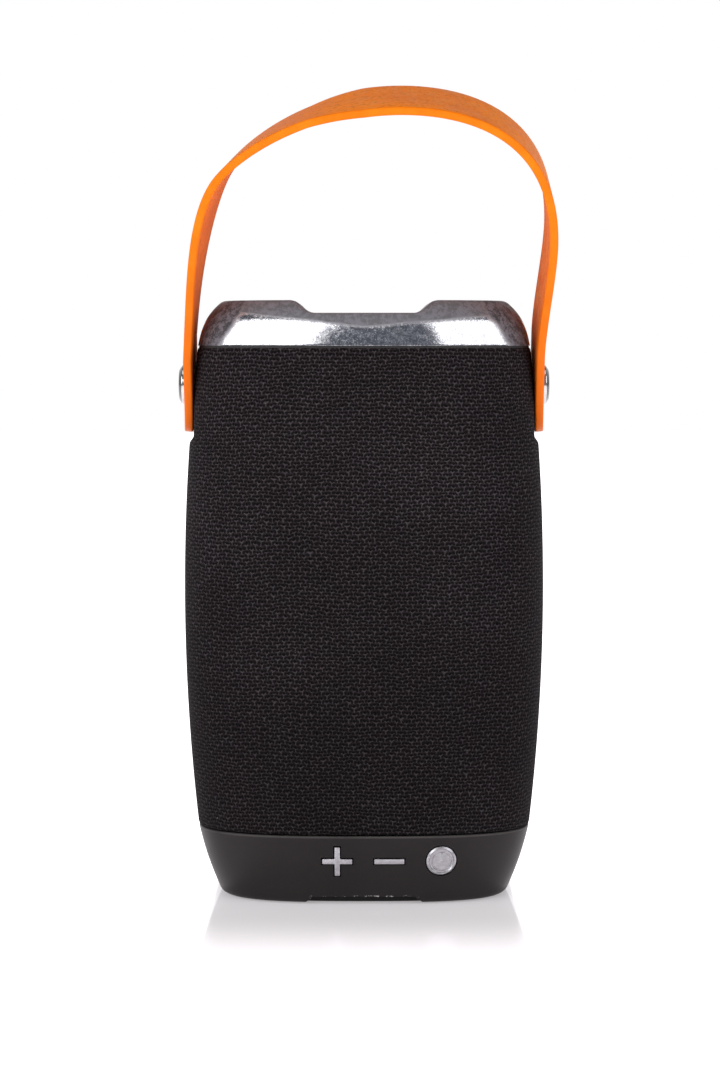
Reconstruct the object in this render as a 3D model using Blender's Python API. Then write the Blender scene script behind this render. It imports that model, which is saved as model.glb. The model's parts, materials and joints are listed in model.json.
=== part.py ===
"""Portable loudspeaker: a fabric barrel between a plastic base and a chromed cap, carried by one wide strap.

Metres, +Z up, the keys face -Y. The origin is the centre of the foot pad's underside.
Each object is one physical piece. Pieces that touch keep GAP between them.
"""

import math

import bmesh
import bpy
from mathutils import Matrix, Vector

MM = 0.001
GAP = 0.3 * MM
FAR = 80 * MM  # past the outside of the body, for cutters

# Body: its section is a rounded rectangle, a superellipse, that changes with height.
SECTION_POWER = 3.0
SIDES = 40
HALF_WIDTH = 50.5 * MM
HALF_DEPTH = 31.0 * MM
WIDEST_Z = 85.0 * MM
SEAM_Z = 19.8 * MM
RIM_Z = 154.2 * MM
CAP_TOP_Z = 166.6 * MM
UPPER_RADIUS = 600 * MM
LOWER_RADIUS = 580 * MM
CAP_LEAN = 0.2
CAP_CURL = 2350.0  # per square metre
CAP_DEPTH_LEAN = 0.16
CAP_DEPTH_CURL = 1070.0  # per square metre
BASE_LEAN = 0.206
BASE_CURL = 6.6  # per metre
BARREL_DEPTH_SHARE = 0.8  # how much of the side's inset the front and back take
BASE_DEPTH_SHARE = 0.56

# Sleeve, hem ring, deck and housing, each inside the last.
SLEEVE_WALL = 2.0 * MM
INNER_INSET = SLEEVE_WALL + GAP
COLLAR_WALL = 2.0 * MM
HOUSING_WALL = 2.5 * MM
HOUSING_FLOOR_Z = 25.0 * MM
HOUSING_TOP_Z = 134.0 * MM
DECK_FLOOR = 2.5 * MM
SEAL_HALF = 0.3 * MM

# Cap and the saddle across it.
CAP_WALL = 3.0 * MM
CAP_SKIN = 1.6 * MM
SADDLE_FLOOR = 28.8 * MM
SADDLE_MOUTH = 39.2 * MM
SADDLE_DEPTH = 3.5 * MM

# Base.
BASE_BOTTOM_Z = 0.3 * MM
BASE_TOP_Z = SEAM_Z - 0.2 * MM
BASE_WALL = 2.6 * MM
BASE_FLOOR_Z = 3.9 * MM
NOTCH_FLOOR = 28.0 * MM
NOTCH_MOUTH = 33.0 * MM
NOTCH_DEPTH = 1.9 * MM
PAD_HALF_WIDTH = 35.5 * MM
PAD_HALF_DEPTH = 20.5 * MM
PAD_HEIGHT = 1.5 * MM
POST_X = 27.0 * MM
POST_Y = 11.5 * MM
POST_RADIUS = 3.6 * MM

# Keys, along the base's front wall.
KEY_Z = 12.5 * MM
KEY_FIRST_X = -7.4 * MM
KEY_PITCH = 14.35 * MM
KEY_SPAN = 8.3 * MM
KEY_ARM = 1.5 * MM
KEY_PROUD = 0.35 * MM
KEY_FLANGE_RADIUS = 4.9 * MM
KEY_BOARD_Y = -16.1 * MM

# Strap and its pivots.
PIVOT_Z = 143.1 * MM
LEAN = math.radians(18.2)
STRAP_WIDTH = 26.0 * MM
STRAP_THICKNESS = 2.3 * MM
STRAP_OUT = 49.9 * MM  # outer face beside each pivot
STRAP_FLARE = 0.7 * MM  # how far each tail's tip stands out
STRAP_APEX = 82.5 * MM  # from the pivot, along the lean
STRAP_APEX_X = 10.0 * MM
SHOULDER_TWIST = math.radians(8.5)
TWIST_V = 58.4 * MM
TWIST_SPREAD = 20.0 * MM
SEAT_X = 47.3 * MM
SEAT_HALF_HEIGHT = 13.7 * MM
SEAT_HALF_DEPTH = 22.0 * MM
SHOULDER_RADIUS = 3.0 * MM
SCREW_HEAD_RADIUS = 5.65 * MM
SCREW_FACE_RADIUS = 4.1 * MM

# Driver in the front and passive radiator in the back, on one axis.
DRIVER_Z = 82.0 * MM
POCKET_RADIUS = 30.4 * MM
GUARD_POCKET_RADIUS = 31.4 * MM
BOSS_RADIUS = 34.3 * MM
BOSS_BACK_Y = 15.5 * MM
SEAT_Y = 18.5 * MM
GUARD_LEDGE_Y = 24.6 * MM
DRIVER_SCREW_CIRCLE = 28.0 * MM

# Cells, boards and ports.
CELL_RADIUS = 9.2 * MM
CELL_HALF_LENGTH = 32.5 * MM
CELL_Y = 10.2 * MM
CELL_Z = 38.2 * MM
BOARD_Z = 7.0 * MM
BOARD_THICKNESS = 1.6 * MM
PORT_Z = 10.6 * MM
SOCKET_X = 7.0 * MM
JACK_X = -8.0 * MM
COVER_HALF_WIDTH = 17.0 * MM
COVER_HALF_HEIGHT = 5.0 * MM
COVER_DEPTH = 1.6 * MM

COLOURS = {
    # name: (red, green, blue), roughness, metallic
    "orange_strap": ((0.80, 0.21, 0.03), 0.55, 0.0),
    "dark_fabric": ((0.03, 0.027, 0.029), 0.95, 0.0),
    "chrome": ((0.72, 0.71, 0.70), 0.08, 1.0),
    "satin_metal": ((0.62, 0.62, 0.61), 0.3, 1.0),
    "base_plastic": ((0.035, 0.033, 0.033), 0.45, 0.0),
    "inner_plastic": ((0.05, 0.05, 0.055), 0.6, 0.0),
    "rubber": ((0.02, 0.02, 0.02), 0.85, 0.0),
    "steel": ((0.45, 0.45, 0.46), 0.35, 1.0),
    "brass": ((0.70, 0.52, 0.22), 0.35, 1.0),
    "ferrite": ((0.06, 0.06, 0.065), 0.7, 0.0),
    "paper_cone": ((0.06, 0.06, 0.06), 0.9, 0.0),
    "copper": ((0.72, 0.33, 0.17), 0.4, 1.0),
    "circuit_board": ((0.02, 0.14, 0.06), 0.5, 0.0),
    "cell_wrap": ((0.05, 0.16, 0.42), 0.4, 0.0),
}


def material(name):
    made = bpy.data.materials.get(name)
    if made is None:
        colour, roughness, metallic = COLOURS[name]
        made = bpy.data.materials.new(name)
        made.use_nodes = True
        made.diffuse_color = (*colour, 1)
        shader = made.node_tree.nodes["Principled BSDF"]
        shader.inputs["Base Color"].default_value = (*colour, 1)
        shader.inputs["Roughness"].default_value = roughness
        shader.inputs["Metallic"].default_value = metallic
    return made


# Making objects


def add_object(name, bm, finish=None, parent=None):
    """The bmesh as an object of this name. With no finish it is a helper, such as a cutter."""
    bm.normal_update()
    bmesh.ops.recalc_face_normals(bm, faces=bm.faces[:])
    mesh = bpy.data.meshes.new(name)
    bm.to_mesh(mesh)
    bm.free()
    made = bpy.data.objects.new(name, mesh)
    bpy.context.scene.collection.objects.link(made)
    if finish:
        mesh.materials.append(material(finish))
        mesh.shade_smooth()
        mesh.set_sharp_from_angle(angle=math.radians(35))
    else:
        made.hide_render = True
        made.display_type = "WIRE"
    if parent:
        made.parent = parent
        made.matrix_parent_inverse = parent.matrix_basis.inverted()
    return made


def joint_empty(name, place, direction=(0, 0, 1)):
    """An empty on a joint's axis, for the pieces that move about or along it."""
    made = bpy.data.objects.new(name, None)
    made.empty_display_size = 5 * MM
    made.matrix_basis = facing(place, direction)
    bpy.context.scene.collection.objects.link(made)
    return made


def boolean(target, other, operation="DIFFERENCE"):
    step = target.modifiers.new(operation.lower() + "_" + other.name, "BOOLEAN")
    step.operation = operation
    step.object = other


def skin(bm, rings, looped=False):
    """Quads between neighbouring rings of points. Unless looped, the first and last rings are filled."""
    verts = [[bm.verts.new(point) for point in ring] for ring in rings]
    spans = list(zip(verts, verts[1:] + verts[:1] if looped else verts[1:]))
    for low, high in spans:
        for i in range(len(low)):
            j = (i + 1) % len(low)
            bm.faces.new((low[i], low[j], high[j], high[i]))
    if not looped:
        bm.faces.new(verts[0])
        bm.faces.new(verts[-1])
    return bm


def facing(place, direction):
    """The matrix that takes +Z to this direction and the origin to this place."""
    turn = Vector((0, 0, 1)).rotation_difference(Vector(direction).normalized())
    return Matrix.Translation(place) @ turn.to_matrix().to_4x4()


def turned(name, profile, finish=None, place=(0, 0, 0), axis=(0, 0, 1), sides=24, parent=None):
    """A profile of (radius, height) turned about the axis. Where it starts and ends at radius 0 it closes there."""
    bm = bmesh.new()
    solid = profile[0][0] == 0
    inner = profile[1:-1] if solid else profile
    angles = [2 * math.pi * k / sides for k in range(sides)]
    rings = [[bm.verts.new((r * math.cos(a), r * math.sin(a), h)) for a in angles] for r, h in inner]
    pairs = list(zip(rings, rings[1:])) if solid else list(zip(rings, rings[1:] + rings[:1]))
    for low, high in pairs:
        for i in range(sides):
            j = (i + 1) % sides
            bm.faces.new((low[i], low[j], high[j], high[i]))
    if solid:
        for ring, height in ((rings[0], profile[0][1]), (rings[-1], profile[-1][1])):
            centre = bm.verts.new((0, 0, height))
            for i in range(sides):
                bm.faces.new((centre, ring[i], ring[(i + 1) % sides]))
    bm.transform(facing(place, axis))
    return add_object(name, bm, finish, parent)


def plug(radius, low, high):
    """The profile of a plain solid cylinder."""
    return [(0, low), (radius, low), (radius, high), (0, high)]


def tube(inner, outer, low, high):
    """The profile of a plain ring."""
    return [(inner, low), (outer, low), (outer, high), (inner, high)]


def cuboid(name, low, high, finish=None, matrix=None, parent=None):
    bm = bmesh.new()
    bmesh.ops.create_cube(bm, size=1)
    size = Vector(high) - Vector(low)
    centre = (Vector(high) + Vector(low)) / 2
    bm.transform((matrix or Matrix()) @ Matrix.Translation(centre) @ Matrix.Diagonal((*size, 1)))
    return add_object(name, bm, finish, parent)


def prism(name, outline, low, high, finish=None, matrix=None, parent=None):
    """An outline of (x, y) points extruded along Z from low to high."""
    bm = skin(bmesh.new(), [[(x, y, z) for x, y in outline] for z in (low, high)])
    bm.transform(matrix or Matrix())
    return add_object(name, bm, finish, parent)


# The body's skin


def half_sizes(z):
    """Half width and half depth of the body's outer skin at height z."""
    held = min(max(z, SEAM_Z), RIM_Z)
    radius = UPPER_RADIUS if held > WIDEST_Z else LOWER_RADIUS
    barrel = (held - WIDEST_Z) ** 2 / (2 * radius)
    over = max(z - RIM_Z, 0)
    under = max(SEAM_Z - z, 0)
    cap = CAP_LEAN * over + CAP_CURL * over**3
    cap_depth = CAP_DEPTH_LEAN * over + CAP_DEPTH_CURL * over**3
    base = BASE_LEAN * under + BASE_CURL * under**2
    width = HALF_WIDTH - barrel - cap - base
    depth = HALF_DEPTH - BARREL_DEPTH_SHARE * barrel - cap_depth - BASE_DEPTH_SHARE * base
    return width, depth


def section(half_width, half_depth, z, sides=SIDES):
    ring = []
    for k in range(sides):
        c = math.cos(2 * math.pi * k / sides)
        s = math.sin(2 * math.pi * k / sides)
        x = math.copysign(abs(c) ** (2 / SECTION_POWER), c) * half_width
        y = math.copysign(abs(s) ** (2 / SECTION_POWER), s) * half_depth
        ring.append((x, y, z))
    return ring


def skin_ring(z, inset=0.0):
    width, depth = half_sizes(z)
    return section(width - inset, depth - inset, z)


def heights(low, high, spans):
    return [low + (high - low) * k / spans for k in range(spans + 1)]


def shell(name, low, high, outer_inset, inner_inset, spans, finish):
    """A tube that follows the body's skin, open at both ends."""
    levels = heights(low, high, spans)
    rings = [skin_ring(z, outer_inset) for z in levels]
    rings += [skin_ring(z, inner_inset) for z in reversed(levels)]
    return add_object(name, skin(bmesh.new(), rings, looped=True), finish)


def block(name, low, high, inset, spans, finish=None):
    """A solid that follows the body's skin."""
    rings = [skin_ring(z, inset) for z in heights(low, high, spans)]
    return add_object(name, skin(bmesh.new(), rings), finish)


def skin_y(x, z):
    """How far the skin stands from the XZ plane at x and z."""
    width, depth = half_sizes(z)
    return depth * (1 - abs(x / width) ** SECTION_POWER) ** (1 / SECTION_POWER)


def skin_frame(x, z, back=False):
    """A matrix on the skin of the front or back wall: +Z points into the body, +Y up the wall."""
    step = 0.1 * MM
    across = (skin_y(x + step, z) - skin_y(x - step, z)) / (2 * step)
    rise = (skin_y(x, z + step) - skin_y(x, z - step)) / (2 * step)
    side = 1 if back else -1
    inward = Vector((across, -side, rise)).normalized()
    up = Vector((0, 0, 1))
    up = (up - inward * up.dot(inward)).normalized()
    right = up.cross(inward)
    frame = Matrix((right, up, inward)).transposed().to_4x4()
    return Matrix.Translation((x, side * skin_y(x, z), z)) @ frame


# Outer pieces


def make_sleeve():
    """The fabric barrel. Its sides are flat at the pivots, so that the strap can swing right down."""
    sleeve = shell("fabric_sleeve", SEAM_Z + 0.2 * MM, RIM_Z - 0.6 * MM, 0, SLEEVE_WALL, 7, "dark_fabric")
    for name, side in (("left", -1), ("right", 1)):
        ends = sorted((side * SEAT_X, side * FAR))
        seat_low = (ends[0], -SEAT_HALF_DEPTH, PIVOT_Z - SEAT_HALF_HEIGHT)
        seat_high = (ends[1], SEAT_HALF_DEPTH, PIVOT_Z + SEAT_HALF_HEIGHT)
        boolean(sleeve, cuboid("seat_" + name, seat_low, seat_high))
        hole = plug(5.3 * MM, 30 * MM, FAR)
        boolean(sleeve, turned("bush_hole_" + name, hole, None, (0, 0, PIVOT_Z), (side, 0, 0), 16))


def make_hem_ring():
    shell("lower_hem_ring", SEAM_Z + GAP, HOUSING_FLOOR_Z - GAP, INNER_INSET, INNER_INSET + COLLAR_WALL, 1, "inner_plastic")


def make_top_deck():
    """The tray that closes the top: it carries the upper hem, the cap and the strap's threads."""
    low, high = HOUSING_TOP_Z + GAP, RIM_Z - GAP
    deck = block("top_deck", low, high, INNER_INSET, 2, "inner_plastic")
    hollow = block("deck_hollow", low + DECK_FLOOR, high + 5 * MM, INNER_INSET + COLLAR_WALL, 2)
    for name, side in (("left", -1), ("right", 1)):
        ends = sorted((side * 35 * MM, side * 50 * MM))
        boss_low = (ends[0], -7.5 * MM, low)
        boss_high = (ends[1], 7.5 * MM, PIVOT_Z + 7.4 * MM)
        boolean(hollow, cuboid("thread_boss_" + name, boss_low, boss_high))
    boolean(deck, hollow)
    for name, side in (("left", -1), ("right", 1)):
        hole = [
            (0, 36.5 * MM), (3.5 * MM, 36.5 * MM), (3.5 * MM, 45.1 * MM),
            (5.4 * MM, 45.1 * MM), (5.4 * MM, FAR), (0, FAR),
        ]
        boolean(deck, turned("insert_hole_" + name, hole, None, (0, 0, PIVOT_Z), (side, 0, 0), 16))


def saddle_outline(grow=0.0):
    """The saddle's cross-section as (x, z), with S-shaped ends."""
    steps = 4
    points = []
    for k in range(steps + 1):
        share = k / steps
        smooth = share * share * (3 - 2 * share)
        x = (SADDLE_FLOOR + (SADDLE_MOUTH - SADDLE_FLOOR) * share) / 2 + grow
        points.append((x, CAP_TOP_Z - SADDLE_DEPTH * (1 - smooth) - grow))
    points.append((points[-1][0], CAP_TOP_Z + 5 * MM))
    return [(-x, z) for x, z in reversed(points)] + points


def saddle_cutter(name, grow):
    lay = Matrix.Rotation(math.radians(90), 4, "X")
    return prism(name, saddle_outline(grow), -FAR, FAR, None, lay)


def make_cap():
    cap = block("top_cap", RIM_Z, CAP_TOP_Z, 0, 5, "chrome")
    boolean(cap, saddle_cutter("saddle", 0.0))
    hollow = block("cap_hollow", RIM_Z - 5 * MM, CAP_TOP_Z - CAP_SKIN, CAP_WALL, 3)
    boolean(hollow, saddle_cutter("saddle_floor", CAP_SKIN))
    boolean(cap, hollow)


def base_rings():
    """The base's outer skin from its rounded lower edge up to the seam."""
    edge = 1.3 * MM
    rings = []
    for angle in (0, 30, 60, 90):
        a = math.radians(angle)
        z = BASE_BOTTOM_Z + edge * (1 - math.cos(a))
        rings.append(skin_ring(z, edge * (1 - math.sin(a))))
    lowest = BASE_BOTTOM_Z + edge
    return rings + [skin_ring(z) for z in heights(lowest, BASE_TOP_Z, 4)[1:]]


def base_screw_places():
    return [(x, y) for x in (-POST_X, POST_X) for y in (-POST_Y, POST_Y)]


def make_base_shell():
    shell_floor = BASE_FLOOR_Z
    base = add_object("base_shell", skin(bmesh.new(), base_rings()), "base_plastic")
    boolean(base, block("base_hollow", shell_floor, BASE_TOP_Z + 5 * MM, BASE_WALL, 3))
    for k, (x, y) in enumerate(base_screw_places()):
        post = plug(POST_RADIUS, shell_floor - 1 * MM, HOUSING_FLOOR_Z - GAP)
        boolean(base, turned("post_%d" % (k + 1), post, None, (x, y, 0), sides=12), "UNION")
        head = [(0, -MM), (2.8 * MM, -MM), (2.8 * MM, 5 * MM), (1.6 * MM, 5 * MM), (1.6 * MM, FAR), (0, FAR)]
        boolean(base, turned("post_bore_%d" % (k + 1), head, None, (x, y, 0), sides=12))
    grown = 0.3 * MM
    recess = [section(PAD_HALF_WIDTH + grown, PAD_HALF_DEPTH + grown, z) for z in (-MM, PAD_HEIGHT + GAP)]
    boolean(base, add_object("pad_recess", skin(bmesh.new(), recess)))
    lay = Matrix.Rotation(math.radians(90), 4, "X")
    notch_top = BASE_BOTTOM_Z + NOTCH_DEPTH
    outline = [
        (-NOTCH_MOUTH / 2 - MM, BASE_BOTTOM_Z - MM),
        (NOTCH_MOUTH / 2 + MM, BASE_BOTTOM_Z - MM),
        (NOTCH_FLOOR / 2, notch_top),
        (-NOTCH_FLOOR / 2, notch_top),
    ]
    boolean(base, prism("front_notch", outline, PAD_HALF_DEPTH - MM, FAR, None, lay))
    return base


def make_foot_pad():
    edge = 0.3 * MM
    rings = [
        section(PAD_HALF_WIDTH - edge, PAD_HALF_DEPTH - edge, 0),
        section(PAD_HALF_WIDTH, PAD_HALF_DEPTH, edge),
        section(PAD_HALF_WIDTH, PAD_HALF_DEPTH, PAD_HEIGHT),
    ]
    add_object("foot_pad", skin(bmesh.new(), rings), "rubber")


def make_base_screws():
    for k, (x, y) in enumerate(base_screw_places()):
        head, shank = 2.5 * MM, 1.3 * MM
        profile = [(0, 2.1 * MM), (head, 2.1 * MM), (head, 4.7 * MM), (shank, 4.7 * MM), (shank, 27 * MM), (0, 27 * MM)]
        turned("base_screw_%d" % (k + 1), profile, "steel", (x, y, 0), sides=10)


# Acoustic housing


def wire_hole(cutter_name, x, y):
    return turned(cutter_name, plug(1.4 * MM, 20 * MM, 30 * MM), None, (x, y, 0), sides=8)


def make_housing():
    """Two half shells that meet on a seal, with one round opening each."""
    low, high = HOUSING_FLOOR_Z, HOUSING_TOP_Z
    inner = INNER_INSET + HOUSING_WALL
    halves = {"housing_front": (-FAR, -2 * SEAL_HALF, -1), "housing_rear": (2 * SEAL_HALF, FAR, 1)}
    hollow = block("housing_hollow", low + HOUSING_WALL, high - HOUSING_WALL, inner, 4)
    for name, side in (("front_boss", -1), ("rear_boss", 1)):
        boss = plug(BOSS_RADIUS, BOSS_BACK_Y, FAR)
        boolean(hollow, turned(name, boss, None, (0, 0, DRIVER_Z), (0, side, 0), 24))
    for name, (near, far, side) in halves.items():
        half = block(name, low, high, INNER_INSET, 4, "inner_plastic")
        boolean(half, hollow)
        boolean(half, cuboid(name + "_half", (-FAR, near, 0), (FAR, far, 3 * FAR)), "INTERSECT")
        pocket = [
            (0, BOSS_BACK_Y - 2 * MM),
            (26.6 * MM, BOSS_BACK_Y - 2 * MM),
            (26.6 * MM, SEAT_Y),
            (POCKET_RADIUS, SEAT_Y),
            (POCKET_RADIUS, GUARD_LEDGE_Y),
            (GUARD_POCKET_RADIUS, GUARD_LEDGE_Y),
            (GUARD_POCKET_RADIUS, FAR),
            (0, FAR),
        ]
        boolean(half, turned(name + "_pocket", pocket, None, (0, 0, DRIVER_Z), (0, side, 0), 28))
        for k, (x, y) in enumerate(base_screw_places()):
            if y * side > 0:
                hole = turned("%s_screw_hole_%d" % (name, k + 1), plug(1.6 * MM, 20 * MM, 30 * MM), None, (x, y, 0), sides=10)
                boolean(half, hole)
        if side < 0:
            boolean(half, driver_screw_cutter(1.4 * MM, SEAT_Y - 6 * MM, SEAT_Y + MM))
        else:
            boolean(half, wire_hole("speaker_lead_hole", 37 * MM, 5 * MM))
            boolean(half, wire_hole("battery_lead_hole", -37 * MM, 5 * MM))
    seal = block("housing_seal", low, high, INNER_INSET, 4, "rubber")
    boolean(seal, hollow)
    boolean(seal, cuboid("seal_plane", (-FAR, -SEAL_HALF, 0), (FAR, SEAL_HALF, 3 * FAR)), "INTERSECT")


def driver_screw_places():
    turns = [math.radians(45 + 90 * k) for k in range(4)]
    return [(DRIVER_SCREW_CIRCLE * math.cos(a), DRIVER_Z + DRIVER_SCREW_CIRCLE * math.sin(a)) for a in turns]


def driver_screw_cutter(radius, low, high):
    """The four screw holes as one cutter. Heights run forwards from the body's middle."""
    bm = bmesh.new()
    for x, z in driver_screw_places():
        angles = [2 * math.pi * k / 8 for k in range(8)]
        rings = [[(x + radius * math.cos(a), -y, z + radius * math.sin(a)) for a in angles] for y in (low, high)]
        skin(bm, rings)
    return add_object("driver_screw_holes", bm)


def guard_hole_cutter(side, name):
    """Holes on a triangular grid inside the guard's rim, as one cutter."""
    pitch, radius, limit = 11 * MM, 3.6 * MM, 27 * MM
    bm = bmesh.new()
    for row in range(-3, 4):
        for column in range(-4, 5):
            x = pitch * (column + (row % 2) / 2)
            z = pitch * row * math.sqrt(3) / 2
            if math.hypot(x, z) + radius < limit:
                angles = [2 * math.pi * (k + 0.5) / 6 for k in range(6)]
                ends = (20 * MM, 30 * MM)
                skin(bm, [
                    [(x + radius * math.cos(a), side * y, DRIVER_Z + z + radius * math.sin(a)) for a in angles]
                    for y in ends
                ])
    return add_object(name, bm)


def make_guard(name, side):
    rim = 31.0 * MM
    disc = plug(rim, GUARD_LEDGE_Y + GAP, GUARD_LEDGE_Y + GAP + MM)
    guard = turned(name, disc, "inner_plastic", (0, 0, DRIVER_Z), (0, side, 0), 28)
    boolean(guard, guard_hole_cutter(side, name + "_holes"))


def forwards(profile):
    """A profile given in millimetres from the middle of the body towards the front."""
    return [(r * MM, h * MM) for r, h in profile]


def make_driver():
    place, axis = (0, 0, DRIVER_Z), (0, -1, 0)
    basket = turned("driver_basket", forwards([
        (30, 18.8), (30, 20.8), (25, 20.8), (24.2, 19.6), (15.8, 7), (12, 7), (12, 5.2),
        (17.4, 5.2), (17.4, 7.4), (25.8, 18.8),
    ]), "steel", place, axis, 20)
    for k, turn in enumerate((45, 135)):
        window = Matrix.Translation(place) @ Matrix.Rotation(math.radians(turn), 4, "Y")
        boolean(basket, cuboid("basket_window_%d" % (k + 1), (-FAR, -16.5 * MM, -6 * MM), (FAR, -9 * MM, 6 * MM), None, window))
    boolean(basket, driver_screw_cutter(1.4 * MM, 15 * MM, 25 * MM))
    turned("driver_front_plate", forwards(tube(8.4, 16, 1.9, 4.9)), "steel", place, axis, 24)
    turned("driver_magnet", forwards(tube(9.5, 15.5, -4.4, 1.6)), "ferrite", place, axis, 24)
    turned("driver_back_plate", forwards([
        (0, -7.7), (16, -7.7), (16, -4.7), (7.1, -4.7), (7.1, 4.9), (0, 4.9),
    ]), "steel", place, axis, 24)
    turned("driver_spider", forwards([
        (8.4, 10.2), (10, 10.8), (12, 10.2), (14, 10.8), (15.6, 10.2),
        (15.6, 11), (14, 11.6), (12, 11), (10, 11.6), (8.4, 11),
    ]), "dark_fabric", place, axis, 16)
    turned("driver_surround", forwards([
        (25.2, 21.1), (25.2, 21.7), (24.6, 22.4), (23.4, 22.8), (22.3, 22.4), (21.9, 21.4),
        (21.9, 20.9), (22.8, 21.7), (24, 21.6), (24.4, 21.1),
    ]), "rubber", place, axis, 20)
    for k, (x, z) in enumerate(driver_screw_places()):
        screw = forwards([(0, 14), (1.1, 14), (1.1, 21.2), (1.9, 21.2), (1.9, 22.4), (0, 22.4)])
        turned("driver_screw_%d" % (k + 1), screw, "steel", (x, 0, z), axis, 8)
    moving = joint_empty("cone_travel", place, axis)
    turned("driver_cone", forwards([
        (8.3, 13.8), (9.6, 13.8), (21.5, 20), (21.5, 20.8), (8.3, 14.8),
    ]), "paper_cone", place, axis, 20, moving)
    turned("driver_dust_cap", forwards([
        (0, 17.6), (4.5, 17), (8.9, 15.6), (8.9, 16.2), (4.6, 17.7), (0, 18.3),
    ]), "paper_cone", place, axis, 20, moving)
    turned("voice_coil", forwards(tube(7.5, 8.0, 0.5, 14.6)), "copper", place, axis, 20, moving)


def make_radiator():
    place, axis = (0, 0, DRIVER_Z), (0, 1, 0)
    turned("radiator_frame", forwards(tube(25, 30, 18.8, 20.8)), "inner_plastic", place, axis, 24)
    turned("radiator_surround", forwards([
        (25.6, 21.1), (25.6, 21.7), (24, 22.9), (21.6, 23.2), (19.6, 22.4), (18.9, 21.1),
        (18.9, 20.5), (19.6, 21.5), (21.6, 22.4), (23.8, 22), (24.6, 21.1),
    ]), "rubber", place, axis, 20)
    moving = joint_empty("radiator_travel", place, axis)
    turned("radiator_plate", forwards([
        (0, 17.8), (9, 17.8), (9, 19.4), (18.5, 19.4), (18.5, 21.2), (0, 21.2),
    ]), "steel", place, axis, 24, moving)


# Power and electronics


def make_battery():
    for name, y in (("battery_cell_front", -CELL_Y), ("battery_cell_rear", CELL_Y)):
        nub = 3 * MM
        profile = [
            (0, -CELL_HALF_LENGTH), (CELL_RADIUS, -CELL_HALF_LENGTH), (CELL_RADIUS, CELL_HALF_LENGTH - MM),
            (nub, CELL_HALF_LENGTH - MM), (nub, CELL_HALF_LENGTH), (0, CELL_HALF_LENGTH),
        ]
        turned(name, profile, "cell_wrap", (0, y, CELL_Z), (1, 0, 0), 20)
    low = HOUSING_FLOOR_Z + HOUSING_WALL + GAP
    cradle = cuboid("battery_cradle", (-31 * MM, -18.5 * MM, low), (31 * MM, 18.5 * MM, 34 * MM), "inner_plastic")
    for name, y in (("front", -CELL_Y), ("rear", CELL_Y)):
        saddle = plug(CELL_RADIUS + GAP, -FAR, FAR)
        boolean(cradle, turned("cell_saddle_" + name, saddle, None, (0, y, CELL_Z), (1, 0, 0), 20))


def make_boards():
    low, high = BOARD_Z, BOARD_Z + BOARD_THICKNESS
    cuboid("main_board", (-22.5 * MM, -10 * MM, low), (22.5 * MM, 20.5 * MM, high), "circuit_board")
    on_board = high + GAP
    cuboid("radio_module", (-9 * MM, -6 * MM, on_board), (5 * MM, 6 * MM, on_board + 2 * MM), "satin_metal")
    can = plug(4 * MM, on_board, on_board + 9 * MM)
    turned("filter_capacitor", can, "satin_metal", (13 * MM, -3 * MM, 0), sides=16)
    mouth_y = 23.2 * MM
    usb_low = (SOCKET_X - 4.5 * MM, 16.3 * MM, on_board)
    usb_high = (SOCKET_X + 4.5 * MM, mouth_y, on_board + 3.3 * MM)
    socket = cuboid("charging_socket", usb_low, usb_high, "steel")
    wall = 0.5 * MM
    slot_low = (usb_low[0] + wall, 17.5 * MM, usb_low[2] + wall)
    slot_high = (usb_high[0] - wall, FAR, usb_high[2] - wall)
    boolean(socket, cuboid("socket_slot", slot_low, slot_high))
    jack = cuboid("audio_jack", (JACK_X - 3.2 * MM, 12 * MM, on_board), (JACK_X + 3.2 * MM, mouth_y, on_board + 5 * MM), "inner_plastic")
    bore = plug(1.8 * MM, 13.5 * MM, FAR)
    boolean(jack, turned("jack_bore", bore, None, (JACK_X, 0, on_board + 2.5 * MM), (0, 1, 0), 12))
    board_front, board_back = KEY_BOARD_Y, KEY_BOARD_Y + 1.2 * MM
    cuboid("key_board", (-14 * MM, board_front, 5.5 * MM), (26 * MM, board_back, 19 * MM), "circuit_board")


def lead_route(side):
    """A lead's points from inside the housing, down through its floor, to the main board."""
    x = side * MM
    if side > 0:
        start = [(18.5 * x, 3 * MM, 62 * MM), (27 * x, 3.5 * MM, 58 * MM)]
    else:
        start = [(33.5 * x, 9 * MM, 45 * MM), (35.5 * x, 7 * MM, 47 * MM)]
    down = [
        (36.8 * x, 5 * MM, 44 * MM), (37 * x, 5 * MM, 33 * MM), (37 * x, 5 * MM, 25 * MM),
        (33.5 * x, 4 * MM, 17.5 * MM), (27 * x, 2 * MM, 11.6 * MM), (21 * x, 1.5 * MM, 10 * MM), (19 * x, 1.5 * MM, 9.9 * MM),
    ]
    return [Vector(p) for p in start + down]


def smooth_route(points, each=2):
    """A Catmull-Rom curve through the points."""
    ends = [points[0] * 2 - points[1], *points, points[-1] * 2 - points[-2]]
    route = []
    for k in range(1, len(ends) - 2):
        before, here, after, beyond = ends[k - 1 : k + 3]
        for step in range(each):
            t = step / each
            route.append(0.5 * (
                2 * here
                + (after - before) * t
                + (2 * before - 5 * here + 4 * after - beyond) * t**2
                + (3 * here - before - 3 * after + beyond) * t**3
            ))
    return route + [points[-1]]


def make_lead(name, side, finish):
    curve = bpy.data.curves.new(name, "CURVE")
    curve.dimensions = "3D"
    curve.bevel_depth = 0.9 * MM
    curve.bevel_resolution = 1
    curve.use_fill_caps = True
    spline = curve.splines.new("POLY")
    route = smooth_route(lead_route(side))
    spline.points.add(len(route) - 1)
    for point, place in zip(spline.points, route):
        point.co = (*place, 1)
    curve.materials.append(material(finish))
    bpy.context.scene.collection.objects.link(bpy.data.objects.new(name, curve))


# Keys


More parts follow.
